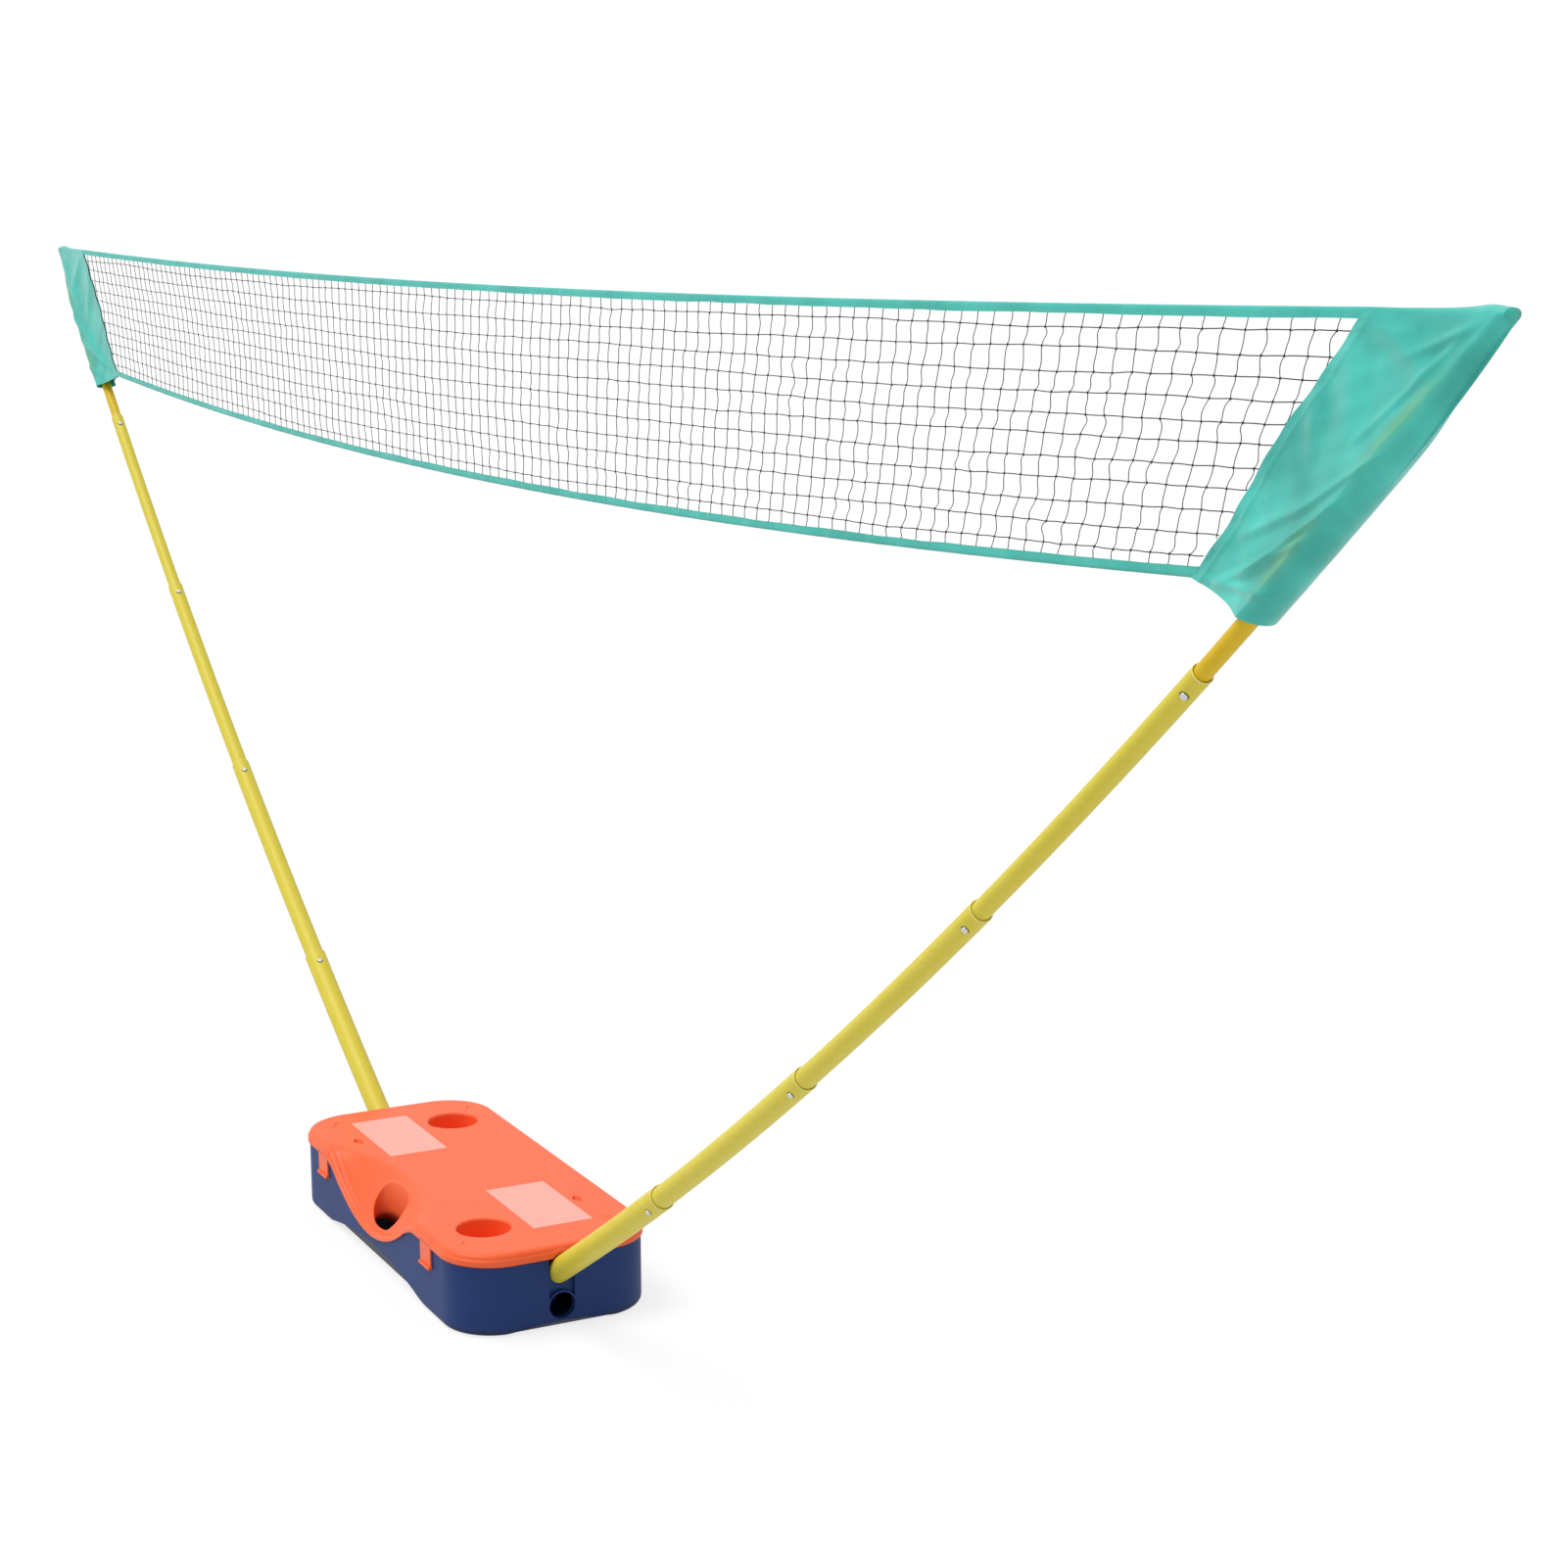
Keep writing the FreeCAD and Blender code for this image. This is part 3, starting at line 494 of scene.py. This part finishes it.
def curve_through(points, count):
    """Points along a smooth curve through a few given points."""
    given = np.array(points, dtype=float)
    reach = np.concatenate([[0], np.cumsum(np.linalg.norm(np.diff(given, axis=0), axis=1))])
    reach /= reach[-1]
    t = np.linspace(0, 1, count)
    slopes = np.gradient(given, reach, axis=0)
    index = np.clip(np.searchsorted(reach, t, side="right") - 1, 0, len(given) - 2)
    span = reach[index + 1] - reach[index]
    u = ((t - reach[index]) / span)[:, None]
    a, b = given[index], given[index + 1]
    m, n = slopes[index] * span[:, None], slopes[index + 1] * span[:, None]
    out = (2 * u ** 3 - 3 * u ** 2 + 1) * a + (u ** 3 - 2 * u ** 2 + u) * m
    out += (-2 * u ** 3 + 3 * u ** 2) * b + (u ** 3 - u ** 2) * n
    return out


def sleeve_radius(t):
    """Half the sleeve's width, at a share of its length: roomy below, where the wider tubes come to lie
    inside it when the poles are pushed together, and close round the tip."""
    return roomy_radius + (pole_wrap - roomy_radius) * smooth_step((np.asarray(t) - 0.58) / 0.36)


def pocket_outline():
    """The pocket's flat shape as a grid: rows from the hem up to the tip, columns from the net's seam out to
    the far side of the pole."""
    v = 1 - (1 - np.linspace(0, 1, pocket_rows)) ** 1.35
    w = np.sin(np.linspace(0, math.pi / 2, pocket_columns)) ** 1.15
    seam_z = net_bottom_z + (net_top_z - net_bottom_z) * v
    seam = np.stack([seam_half(v), seam_z], axis=1)
    outer = np.stack([bow_point(pocket_foot + (pole_end + tip_overrun - pocket_foot) * t,
                                inward=-min(1.0, (1 - t) * 38 + 0.1) * max(
                                    float(sleeve_radius(t)),
                                    pole_wrap + flange_width * math.sin(math.pi * t ** 1.3) ** 0.8))[[0, 2]]
                      for t in v])
    foot = curve_through([seam[0]] + hem_through + [outer[0]], pocket_columns)
    top = curve_through([seam[-1]] + upper_edge_through + [outer[-1]], pocket_columns)
    across = np.linspace(0, 1, pocket_columns)
    foot = np.stack([np.interp(w, across, foot[:, k]) for k in (0, 1)], axis=1)
    top = np.stack([np.interp(w, across, top[:, k]) for k in (0, 1)], axis=1)
    v_, w_ = v[:, None, None], w[None, :, None]
    grid = (1 - w_) * seam[:, None] + w_ * outer[:, None] + (1 - v_) * foot[None] + v_ * top[None]
    grid -= (1 - v_) * ((1 - w_) * seam[0] + w_ * outer[0]) + v_ * ((1 - w_) * seam[-1] + w_ * outer[-1])
    return v, w, grid


def crease(v, w, start, end, height, width):
    """A fold in the cloth from one place to another, fading at its ends."""
    a, b = np.array(start), np.array(end)
    scale = np.array([0.36, 0.11])
    p = np.stack(np.meshgrid(v, w, indexing="ij"), axis=-1) * scale
    a, b = a * scale, b * scale
    run = b - a
    t = np.clip(((p - a) @ run) / (run @ run), 0, 1)
    away = np.linalg.norm(p - a - t[..., None] * run, axis=-1)
    fade = np.sin(math.pi * np.clip(t * 0.9 + 0.05, 0, 1)) ** 0.7
    return height * fade * np.exp(-(away / width) ** 2)


# Each fold: where it starts and ends, as shares of the pocket's height and width, its height and its width
front_folds = [
    ((0.03, 0.30), (0.30, 0.86), 0.0040, 0.006),
    ((0.10, 0.50), (0.44, 0.88), 0.0042, 0.005),
    ((0.20, 0.20), (0.40, 0.66), 0.0022, 0.006),
    ((0.02, 0.12), (0.10, 0.92), 0.0026, 0.005),
    ((0.34, 0.55), (0.60, 0.92), 0.0030, 0.005),
    ((0.98, 0.10), (0.80, 0.80), 0.0034, 0.011),
    ((0.92, 0.05), (0.55, 0.55), 0.0028, 0.012),
    ((0.72, 0.04), (0.50, 0.38), 0.0024, 0.008),
    ((0.88, 0.55), (0.99, 0.88), 0.0024, 0.006),
    ((0.60, 0.60), (0.95, 0.80), 0.0018, 0.004),
]
back_folds = [
    ((0.04, 0.20), (0.34, 0.84), 0.0038, 0.006),
    ((0.16, 0.40), (0.52, 0.88), 0.0034, 0.006),
    ((0.96, 0.16), (0.70, 0.78), 0.0032, 0.010),
    ((0.80, 0.05), (0.48, 0.50), 0.0026, 0.010),
    ((0.05, 0.60), (0.16, 0.92), 0.0024, 0.005),
    ((0.55, 0.62), (0.92, 0.84), 0.0020, 0.004),
]


def pocket_side(v, w, grid, folds, phase):
    """Half the pocket's thickness, from the flat seam to round the pole, with its gathers and folds."""
    inward = bow_radius - np.linalg.norm(grid - bow_centre[[0, 2]], axis=-1)
    reach = inward[:, :1]
    round_pole = sleeve_radius(v)[:, None]
    wrap = np.sqrt(np.maximum(round_pole ** 2 - inward ** 2, 0))
    t = np.clip(inward / reach, 0, 1)
    slope = seam_thickness + (round_pole - seam_thickness) * (1 - t) ** 2.4
    half = np.where(inward < 0, np.maximum(wrap, flange_half), np.maximum(slope, seam_thickness))
    close = np.clip((1 - v) / 0.013, 0, 1)
    half *= np.sqrt(1 - (1 - close) ** 2)[:, None] * 0.97 + 0.03
    edge = np.clip((1 - w) / 0.12, 0, 1)[None, :] * np.clip((1 - v) / 0.06, 0, 1)[:, None]
    seam = np.clip(w / 0.05, 0, 1)[None, :]
    folded = fold_height * sum(crease(v, w, *fold) for fold in folds)
    from_seam = w[None, :] * reach
    band = 0.0007 * np.exp(-((from_seam - 0.008) / 0.0016) ** 2)
    pleat = 0.0011 * np.sin(v * 150 + phase + 2.2 * smooth_noise(len(v), 6))[:, None]
    pleat = pleat * (0.6 + 0.4 * smooth_noise(len(v), 4))[:, None] * np.exp(-w / 0.10)[None, :]
    ruffle = 0.0005 * np.sin(v * 47 + phase)[:, None] * np.sin(w * 19 + phase)[None, :]
    return half + edge * seam * (folded + ruffle) + np.maximum(pleat, 0) * seam + band * edge


def cloth_pocket(side, s):
    """A satin sleeve on the pole's tip, with a flat web gathered onto the end of the net."""
    v, w, grid = pocket_outline()
    wave = 0.0008 * np.sin(v * 38)[:, None] * np.exp(-w / 0.12)[None, :]
    front = pocket_side(v, w, grid, front_folds if s > 0 else back_folds, 0.3)
    back = pocket_side(v, w, grid, back_folds if s > 0 else front_folds, 1.9)
    columns = 2 * pocket_columns - 1
    points = []
    for r in range(pocket_rows):
        for c in range(pocket_columns):
            points.append((s * grid[r, c, 0], -front[r, c] + wave[r, c], grid[r, c, 1]))
        for c in range(pocket_columns - 2, -1, -1):
            points.append((s * grid[r, c, 0], back[r, c] + wave[r, c], grid[r, c, 1]))
    faces = grid_faces(pocket_rows, columns)
    top_row = (pocket_rows - 1) * columns
    for c in range(pocket_columns - 1):
        a, b = top_row + c, top_row + c + 1
        d, e = top_row + columns - 1 - c, top_row + columns - 2 - c
        faces.append((a, b, e, d) if e != b else (a, b, d))
    if s < 0:
        faces = [tuple(reversed(f)) for f in faces]
    piece = new_piece(side + "_satin_pocket", points, faces, satin_cloth, side + "_pocket")
    # Painted streak of shade and show-through along the pole's inner side, stored for the satin's colour.
    inward = bow_radius - np.linalg.norm(grid - bow_centre[[0, 2]], axis=-1)
    painted_streak = np.exp(-((inward - 0.003) / 0.0065) ** 2) * (0.5 + 0.5 * np.sin(v * 13 - 1.2))[:, None]
    painted_streak *= smooth_step(v / 0.15)[:, None] * smooth_step((1 - v) / 0.25)[:, None]
    layer = piece.data.color_attributes.new("painted_pole_streak", "FLOAT_COLOR", "POINT")
    values = np.zeros((len(points), 4))
    both = np.concatenate([painted_streak, painted_streak[:, pocket_columns - 2::-1]], axis=1).reshape(-1)
    values[:, :3] = 0.8 * both[:, None]
    values[:, 3] = 1
    layer.data.foreach_set("color", values.reshape(-1))
    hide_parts(side + "_pocket")


for side, s in sides.items():
    cloth_pocket(side, s)


# Moulded lid

lid_top = 0.1207
lip_bottom = 0.1027
lid_half_length = 0.360
lid_half_width = 0.152
lid_corner = 0.080
lid_wall = 0.0026
shoulder = 0.0105
dish_x = -0.020
dish_edge = [(0, 86.5), (68, 91.0), (104, 99.0), (135, 109.0), (165, 118.0), (192, 125.0), (215, 130.0)]
apron_edge = [(0, 40.0), (45, 44.5), (90, 57.5), (130, 76.0), (160, 93.0), (190, 102.7), (215, 102.7)]
dish_end = 0.215
dish_band = 0.0098
hand_hole_centre = (-0.007, -0.1188)
hand_hole_half = (0.053, 0.0170)
hand_hole_floor = 0.046
well_centres = [(0.241, -0.070), (-0.241, 0.070)]
well_radius = 0.0386
well_depth = 0.045
rolled_rim = 0.0035
thumb_slots = [(-0.211, -0.097), (0.190, 0.097)]
thumb_slot_half = (0.0125, 0.0060)
thumb_slot_depth = 0.0060
# Middle of each raised mark, and the way it turns
finger_marks = [((-0.308, -0.104), 2.5), ((0.279, -0.116), -0.45), ((0.279, 0.106), 0.5),
                ((-0.29, 0.11), 2.6)]
finger_mark_half = 0.014
finger_mark_width = 0.0019
finger_mark_height = 0.0020
latch_window = (0.2015, 0.2425)
latch_window_top = 0.1056
notch_middle = 0.0880
notch_radius = 0.0186
knuckle_radius = 0.0028
knuckle_half = 0.007
knuckle_steps = 16
hand_hole_steps = 72
well_steps = 96
well_corner = 0.003
well_draft = 0.0008
hand_hole_draft = 0.0012
# Distances between the lid's points: on its flat top, in the scoop and round the small marks
coarse_step = 0.011
fine_step = 0.0032
small_step = 0.0011
oval_power = 2.6
hinge_at = [(-0.200, 0.1522), (0.200, 0.1522)]

# The lid's edge, from its flat top down to its lip: how far in from the outline, and how high up the lip
edge_profile = [(0.0105, 1.0), (0.0088, 0.994), (0.0068, 0.965), (0.0048, 0.905), (0.0033, 0.82),
                (0.0024, 0.72), (0.0020, 0.62), (0.0017, 0.555), (0.0009, 0.525), (0.0002, 0.49),
                (0.0, 0.44), (0.0, 0.25), (0.0, 0.05), (0.0004, 0.0)]


def even_curve(points):
    """A smooth line through a few heights given at offsets, as a function of the offset in metres."""
    given = [(-points[1][0], points[1][1])] + points
    dense = curve_through(given, 600) * 0.001
    return lambda offset: np.interp(np.abs(offset), dense[:, 0], dense[:, 1])


dish_line = even_curve(dish_edge)
apron_line = even_curve(apron_edge)


def lip_low(x, y):
    """The lid's lower edge: level, but for the wave at the front, the latches and the poles' notches."""
    offset = np.abs(x - dish_x)
    front = y < -0.1
    low = np.where(front & (offset < dish_end), np.minimum(apron_line(offset), lip_bottom), lip_bottom)
    window = front & (np.abs(x) > latch_window[0]) & (np.abs(x) < latch_window[1])
    low = np.where(window, latch_window_top, low)
    over_pole = notch_middle + np.sqrt(np.maximum(notch_radius ** 2 - y ** 2, 0)) / math.cos(exit_angle)
    at_end = (np.abs(x) > 0.33) & (np.abs(y) < notch_radius)
    return np.where(at_end, np.maximum(low, over_pole), low)


def lip_high(x, y):
    """The height of the lid's shoulder. In the scoop only a narrow band is left of the lip."""
    offset = np.abs(x - dish_x)
    level = smooth_step((offset - 0.135) / 0.075)
    scooped = (np.minimum(apron_line(offset), lip_bottom) + dish_band * (1 - level)
               + (lid_top - lip_bottom) * level)
    return np.where((y < -0.1) & (offset < dish_end), np.minimum(scooped, lid_top), lid_top)


def lid_height(x, y):
    """The height of the lid's upper face: flat, with the scooped handle at the front."""
    back = -dish_line(x - dish_x)
    front = -(lid_half_width - shoulder)
    drop = lid_top - lip_high(x, np.full_like(x, -1.0))
    s = np.clip((back - y) / np.maximum(back - front, 0.002), 0, 1)
    soft = 0.22
    fall = np.where(s < soft, s * s / (2 * soft), s - soft / 2) / (1 - soft / 2)
    fall = fall - 0.16 * np.sin(math.pi * s) ** 2 * (s - 0.35)
    ledge = 0.0016 * np.exp(-((s - 0.93) / 0.035) ** 2) * smooth_step(drop / 0.02)
    z = lid_top - drop * np.clip(fall, 0, 1) - ledge
    for cx, cy in thumb_slots:
        r = np.hypot((x - cx) / thumb_slot_half[0], (y - cy) / thumb_slot_half[1])
        z = z - thumb_slot_depth * smooth_step((1.1 - r) / 0.25)
    for (cx, cy), turn in finger_marks:
        u = (x - cx) * math.cos(turn) + (y - cy) * math.sin(turn)
        w = -(x - cx) * math.sin(turn) + (y - cy) * math.cos(turn) + u * u / 0.05
        ends = smooth_step((finger_mark_half - np.abs(u)) / 0.005)
        z = z + finger_mark_height * np.exp(-(w / finger_mark_width) ** 2) * ends
    return z


def rounded_outline(inset):
    """Points round the lid at a distance in from its outline, the same in number and place for any inset."""
    x = lid_half_length - lid_corner
    y = lid_half_width - lid_corner
    front = np.concatenate([np.linspace(-x, x, 230), [s * (w + e) for s in (1, -1) for w in latch_window
                                                       for e in (-0.0001, 0.0001)]])
    points = [(px, -lid_half_width + inset) for px in np.sort(front)]
    r = lid_corner - inset
    turns = np.linspace(0, math.pi / 2, 34)[1:-1]
    points += [(x + r * math.sin(a), -y - r * math.cos(a)) for a in turns]
    points += [(lid_half_length - inset, py) for py in np.linspace(-y, y, 97)]
    points += [(x + r * math.cos(a), y + r * math.sin(a)) for a in turns]
    points += [(px, lid_half_width - inset) for px in np.linspace(x, -x, 140)]
    points += [(-x - r * math.sin(a), y + r * math.cos(a)) for a in turns]
    points += [(-lid_half_length + inset, py) for py in np.linspace(y, -y, 97)]
    points += [(-x - r * math.cos(a), -y - r * math.sin(a)) for a in turns]
    return np.array(points)


def oval(centre, half, grow, count):
    turns = np.linspace(0, 2 * math.pi, count, endpoint=False)
    power = 2 / oval_power
    c, s = np.cos(turns), np.sin(turns)
    if half[0] == half[1]:
        return np.stack([centre[0] + (half[0] + grow) * c, centre[1] + (half[1] + grow) * s], axis=1)
    return np.stack([centre[0] + (half[0] + grow) * np.sign(c) * np.abs(c) ** power,
                     centre[1] + (half[1] + grow) * np.sign(s) * np.abs(s) ** power], axis=1)


def moulded_lid():
    """One thin moulding: flat top with rounded shoulders, a proud band round its lip, a scooped handle with a
    hand hole, two deep wells, thumb slots and raised finger marks."""
    border = rounded_outline(shoulder)
    holes = [oval(hand_hole_centre, hand_hole_half, rolled_rim, hand_hole_steps)]
    holes += [oval(c, (well_radius, well_radius), rolled_rim, well_steps) for c in well_centres]
    spots = [border] + holes
    coarse = [(x, y) for x in np.arange(-0.345, 0.346, coarse_step)
              for y in np.arange(-0.135, 0.136, coarse_step)
              if not (abs(x - dish_x) < 0.235 and y < -0.07)]
    fine = [(x, y) for x in np.arange(dish_x - 0.233, dish_x + 0.234, fine_step)
            for y in np.arange(-0.1395, -0.07, fine_step)]
    near_small = thumb_slots + [middle for middle, _ in finger_marks]
    small = [(cx + dx, cy + dy) for cx, cy in near_small
             for dx in np.arange(-0.017, 0.0171, small_step) for dy in np.arange(-0.009, 0.0091, small_step)]

    def inside(p, clearance):
        x = max(abs(p[0]) - (lid_half_length - lid_corner), 0)
        y = max(abs(p[1]) - (lid_half_width - lid_corner), 0)
        if abs(p[0]) > lid_half_length - shoulder - clearance:
            return False
        if abs(p[1]) > lid_half_width - shoulder - clearance:
            return False
        if math.hypot(x, y) > lid_corner - shoulder - clearance:
            return False
        if any(math.dist(p, c) < well_radius + rolled_rim + clearance for c in well_centres):
            return False
        u = abs(p[0] - hand_hole_centre[0]) / (hand_hole_half[0] + rolled_rim + clearance)
        w = abs(p[1] - hand_hole_centre[1]) / (hand_hole_half[1] + rolled_rim + clearance)
        return u ** oval_power + w ** oval_power > 1

    spread = [p for p in coarse + fine if inside(p, 0.0016)
              and not any(abs(p[0] - c[0]) < 0.018 and abs(p[1] - c[1]) < 0.010 for c in near_small)]
    spread += [p for p in small if inside(p, 0.0008)]
    flat = [tuple(p) for b in spots for p in b] + [tuple(p) for p in spread]
    edges = []
    first = 0
    for b in spots:
        edges += [(first + i, first + (i + 1) % len(b)) for i in range(len(b))]
        first += len(b)
    made = delaunay_2d_cdt([Vector(p) for p in flat], edges, [], 0, 1e-7)
    plan, triangles, joined = made[0], made[2], made[3]
    plan = np.array([tuple(p) for p in plan])
    faces = []
    for t in triangles:
        centre = plan[list(t)].mean(axis=0)
        if inside(centre, 0.0):
            faces.append(tuple(t))
    points = [(x, y, z) for (x, y), z in zip(plan, lid_height(plan[:, 0], plan[:, 1]))]
    index_of = {}
    for new, olds in enumerate(joined):
        for old in olds:
            index_of[old] = new

    def ring_down(start_ids, rings):
        """Joins ring after ring of new points to a loop of points that is there."""
        previous = list(start_ids)
        for ring in rings:
            new = list(range(len(points), len(points) + len(ring)))
            points.extend(tuple(p) for p in ring)
            n = len(new)
            faces.extend((previous[i], previous[(i + 1) % n], new[(i + 1) % n], new[i]) for i in range(n))
            previous = new
        return previous

    start = 0
    loop_ids = []
    for b in spots:
        loop_ids.append([index_of[start + i] for i in range(len(b))])
        start += len(b)
    at = rounded_outline(0.0)
    low = lip_low(at[:, 0], at[:, 1])
    high = lip_high(at[:, 0], at[:, 1])
    rings = []
    for inset, up in edge_profile[1:] + [(lid_wall, 0.0)]:
        ring = rounded_outline(inset)
        rings.append(np.column_stack([ring, low + (high - low) * up]))
    ring_down(reversed(loop_ids[0]), [ring[::-1] for ring in rings])

    def rolled(centre, half, count, floor, draft):
        """The rolled rim and the wall of a hole, down to a level."""
        made_rings = []
        for k in range(1, 7):
            a = k / 6 * math.pi / 2
            plan_ring = oval(centre, half, rolled_rim * (1 - math.sin(a)), count)
            outer = oval(centre, half, rolled_rim, count)
            top = lid_height(outer[:, 0], outer[:, 1])
            made_rings.append(np.column_stack([plan_ring, top - rolled_rim * (1 - math.cos(a))]))
        last = made_rings[-1][:, 2]
        for t in (0.15, 0.4, 0.7, 1.0):
            plan_ring = oval(centre, half, -draft * t, count)
            made_rings.append(np.column_stack([plan_ring, last + (floor - last) * t]))
        return made_rings

    ring_down(loop_ids[1], rolled(hand_hole_centre, hand_hole_half, hand_hole_steps, hand_hole_floor,
                                  hand_hole_draft))
    for c, ids in zip(well_centres, loop_ids[2:]):
        bottom = lid_top - well_depth
        rings = rolled(c, (well_radius, well_radius), well_steps, bottom + well_corner, well_draft)
        for a in (0.5, 1.0):
            turn = a * math.pi / 2
            grow = -well_draft - well_corner * (1 - math.cos(turn))
            ring = oval(c, (well_radius, well_radius), grow, well_steps)
            height = bottom + well_corner * (1 - math.sin(turn))
            rings.append(np.column_stack([ring, np.full(well_steps, height)]))
        faces.append(tuple(ring_down(ids, rings)))
    for cx, cy in hinge_at:
        first = len(points)
        for x in (cx - knuckle_half, cx + knuckle_half):
            for k in range(knuckle_steps):
                a = 2 * math.pi * k / knuckle_steps
                points.append((x, cy + knuckle_radius * math.cos(a),
                               lip_bottom + knuckle_radius * math.sin(a)))
        faces.extend(grid_faces(2, knuckle_steps, first, close=True))
        faces.append(tuple(first + k for k in reversed(range(knuckle_steps))))
        faces.append(tuple(first + knuckle_steps + k for k in range(knuckle_steps)))
    return points, faces


lid_points, lid_faces = moulded_lid()
lid_piece = new_piece("moulded_lid", lid_points, lid_faces, orange_polypropylene, "lid")
shape = bmesh.new()
shape.from_mesh(lid_piece.data)
bmesh.ops.recalc_face_normals(shape, faces=shape.faces)
if sum(f.normal.z * f.calc_area() for f in shape.faces) < 0:
    bmesh.ops.reverse_faces(shape, faces=shape.faces)
shape.to_mesh(lid_piece.data)
shape.free()
wall = lid_piece.modifiers.new("moulded_wall", "SOLIDIFY")
wall.thickness = lid_wall
wall.offset = -1.0
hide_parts("lid")


# Painted highlight rings on the tubes' rims, and painted shade rings round the snap buttons

rim_inset = 0.0004
rim_thickness = 0.0006
hole_shade_thickness = 0.0004


def thin_ring(name, s, centre, span, radius, thickness, material, body, sag=0.0):
    """A thin ring round a centre; span gives the two directions of its plane, and sag bends it over a
    tube."""
    around = 48
    tube = 8
    facing = np.cross(span[0], span[1])
    points = []
    for i in range(around):
        a = 2 * math.pi * i / around
        out = math.cos(a) * span[0] + math.sin(a) * span[1]
        for j in range(tube):
            b = 2 * math.pi * j / tube
            height = thickness * math.sin(b) - sag * math.sin(a) ** 2
            p = centre + out * (radius + thickness * math.cos(b)) + facing * height
            points.append((s * p[0], p[1], p[2]))
    faces = grid_faces(around, tube, close=True)
    faces += [(k + (around - 1) * tube, (k + 1) % tube + (around - 1) * tube, (k + 1) % tube, k)
              for k in range(tube)]
    if s < 0:
        faces = [tuple(reversed(f)) for f in faces]
    piece = new_piece(name, points, faces, material, body)


for side, s in sides.items():
    for k, along in enumerate(joints_along):
        body = "case" if k == 0 else f"{side}_section_{k + 1}"
        run = bow_direction(along)
        # A pale ring of painted highlight round the rim.
        up = np.array([-run[2], 0, run[0]])
        thin_ring(f"{side}_rim_{k + 1}", s, bow_point(along), (up, np.array([0, 1.0, 0])),
                  tube_radii[k] - rim_inset, rim_thickness, painted_rim_highlight, body)
        # A thin dark ring of painted shade round the snap button's hole.
        angle = exit_angle + (along - button_from_rim) / bow_radius
        run = bow_direction(along - button_from_rim)
        turn = button_turn[side]
        outward = np.array([math.sin(turn) * math.sin(angle), -math.cos(turn),
                            -math.sin(turn) * math.cos(angle)])
        at = bow_point(along - button_from_rim) + outward * tube_radii[k]
        thin_ring(f"{side}_button_hole_edge_{k + 1}", s, at, (run, np.cross(outward, run)), hole_radius,
                  hole_shade_thickness, painted_gap_shade, body,
                  sag=hole_radius ** 2 / (2 * tube_radii[k]))


# Floor, light and camera

floor_glow = 0.70
floor_reach = 60.0
floor_drop = 0.0005


def seen_directly(tree):
    """1 for what the camera sees, itself, mirrored or through something clear, and 0 for light on things."""
    rays = node(tree, "ShaderNodeLightPath").outputs
    seen = node(tree, "ShaderNodeMath", {0: rays["Is Camera Ray"], 1: rays["Is Glossy Ray"]},
                operation="MAXIMUM")
    seen = node(tree, "ShaderNodeMath", {0: seen.outputs["Value"], 1: rays["Is Transmission Ray"]},
                operation="MAXIMUM")
    return seen.outputs["Value"]


def white_card():
    """The studio floor: pale matt paper that runs to plain white in the camera and in reflections, and keeps
    the object's soft shadow."""
    material, tree, shader = finish_of("white_studio_paper", roughness=0.9, base_color=srgb("#DEDEDE"))
    share = node(tree, "ShaderNodeMath", {0: seen_directly(tree), 1: floor_glow}, operation="MULTIPLY")
    glow = node(tree, "ShaderNodeEmission", {"Color": (1, 1, 1, 1), "Strength": 1.13})
    mixed = node(tree, "ShaderNodeMixShader", {0: share.outputs["Value"], 1: shader.outputs["BSDF"],
                                               2: glow.outputs["Emission"]})
    tree.links.new(mixed.outputs["Shader"], tree.nodes["Material Output"].inputs["Surface"])
    return material


floor_mesh = bpy.data.meshes.new("studio_floor")
floor_corners = [(x * floor_reach, y * floor_reach, -floor_drop)
                 for x, y in ((-1, -1), (1, -1), (1, 1), (-1, 1))]
floor_mesh.from_pydata(floor_corners, [], [(0, 1, 2, 3)])
floor_mesh.materials.append(white_card())
floor = bpy.data.objects.new("studio_floor", floor_mesh)
bpy.context.scene.collection.objects.link(floor)

world = bpy.data.worlds.new("white_studio")
bpy.context.scene.world = world
world.use_nodes = True
sky = world.node_tree
level = node(sky, "ShaderNodeMapRange", {"Value": seen_directly(sky), "To Min": 0.48, "To Max": 1.0})
background = sky.nodes["Background"]
background.inputs["Color"].default_value = (1, 1, 1, 1)
sky.links.new(level.outputs["Result"], background.inputs["Strength"])


def wide_sun(name, travel, width, strength):
    """A broad, even light from far away, such as a bright sky panel; its width sets how soft the shadows
    are."""
    data = bpy.data.lights.new(name, "SUN")
    data.angle = width
    data.energy = strength
    lamp = bpy.data.objects.new(name, data)
    bpy.context.scene.collection.objects.link(lamp)
    lamp.rotation_euler = Vector(travel).to_track_quat("-Z", "Y").to_euler()


wide_sun("sky_panel", (0.22, 0.42, -1.0), math.radians(36), 2.0)

lens_at = Vector((3.89582, -1.49823, 1.53368))
yaw = math.radians(152.4197)
pitch = math.radians(-11.1959)
roll = math.radians(-0.03)
forward = Vector((math.cos(yaw) * math.cos(pitch), math.sin(yaw) * math.cos(pitch), math.sin(pitch)))
right = forward.cross(Vector((0, 0, 1))).normalized()
up = right.cross(forward)
camera_data = bpy.data.cameras.new("camera")
camera_data.lens = 66.38
camera_data.sensor_width = 36.0
camera = bpy.data.objects.new("camera", camera_data)
bpy.context.scene.collection.objects.link(camera)
turn = Matrix((right, up, -forward)).transposed().to_4x4()
camera.matrix_world = Matrix.Translation(lens_at) @ turn @ Matrix.Rotation(roll, 4, "Z")
bpy.context.scene.camera = camera
bpy.context.scene.view_settings.view_transform = "Standard"
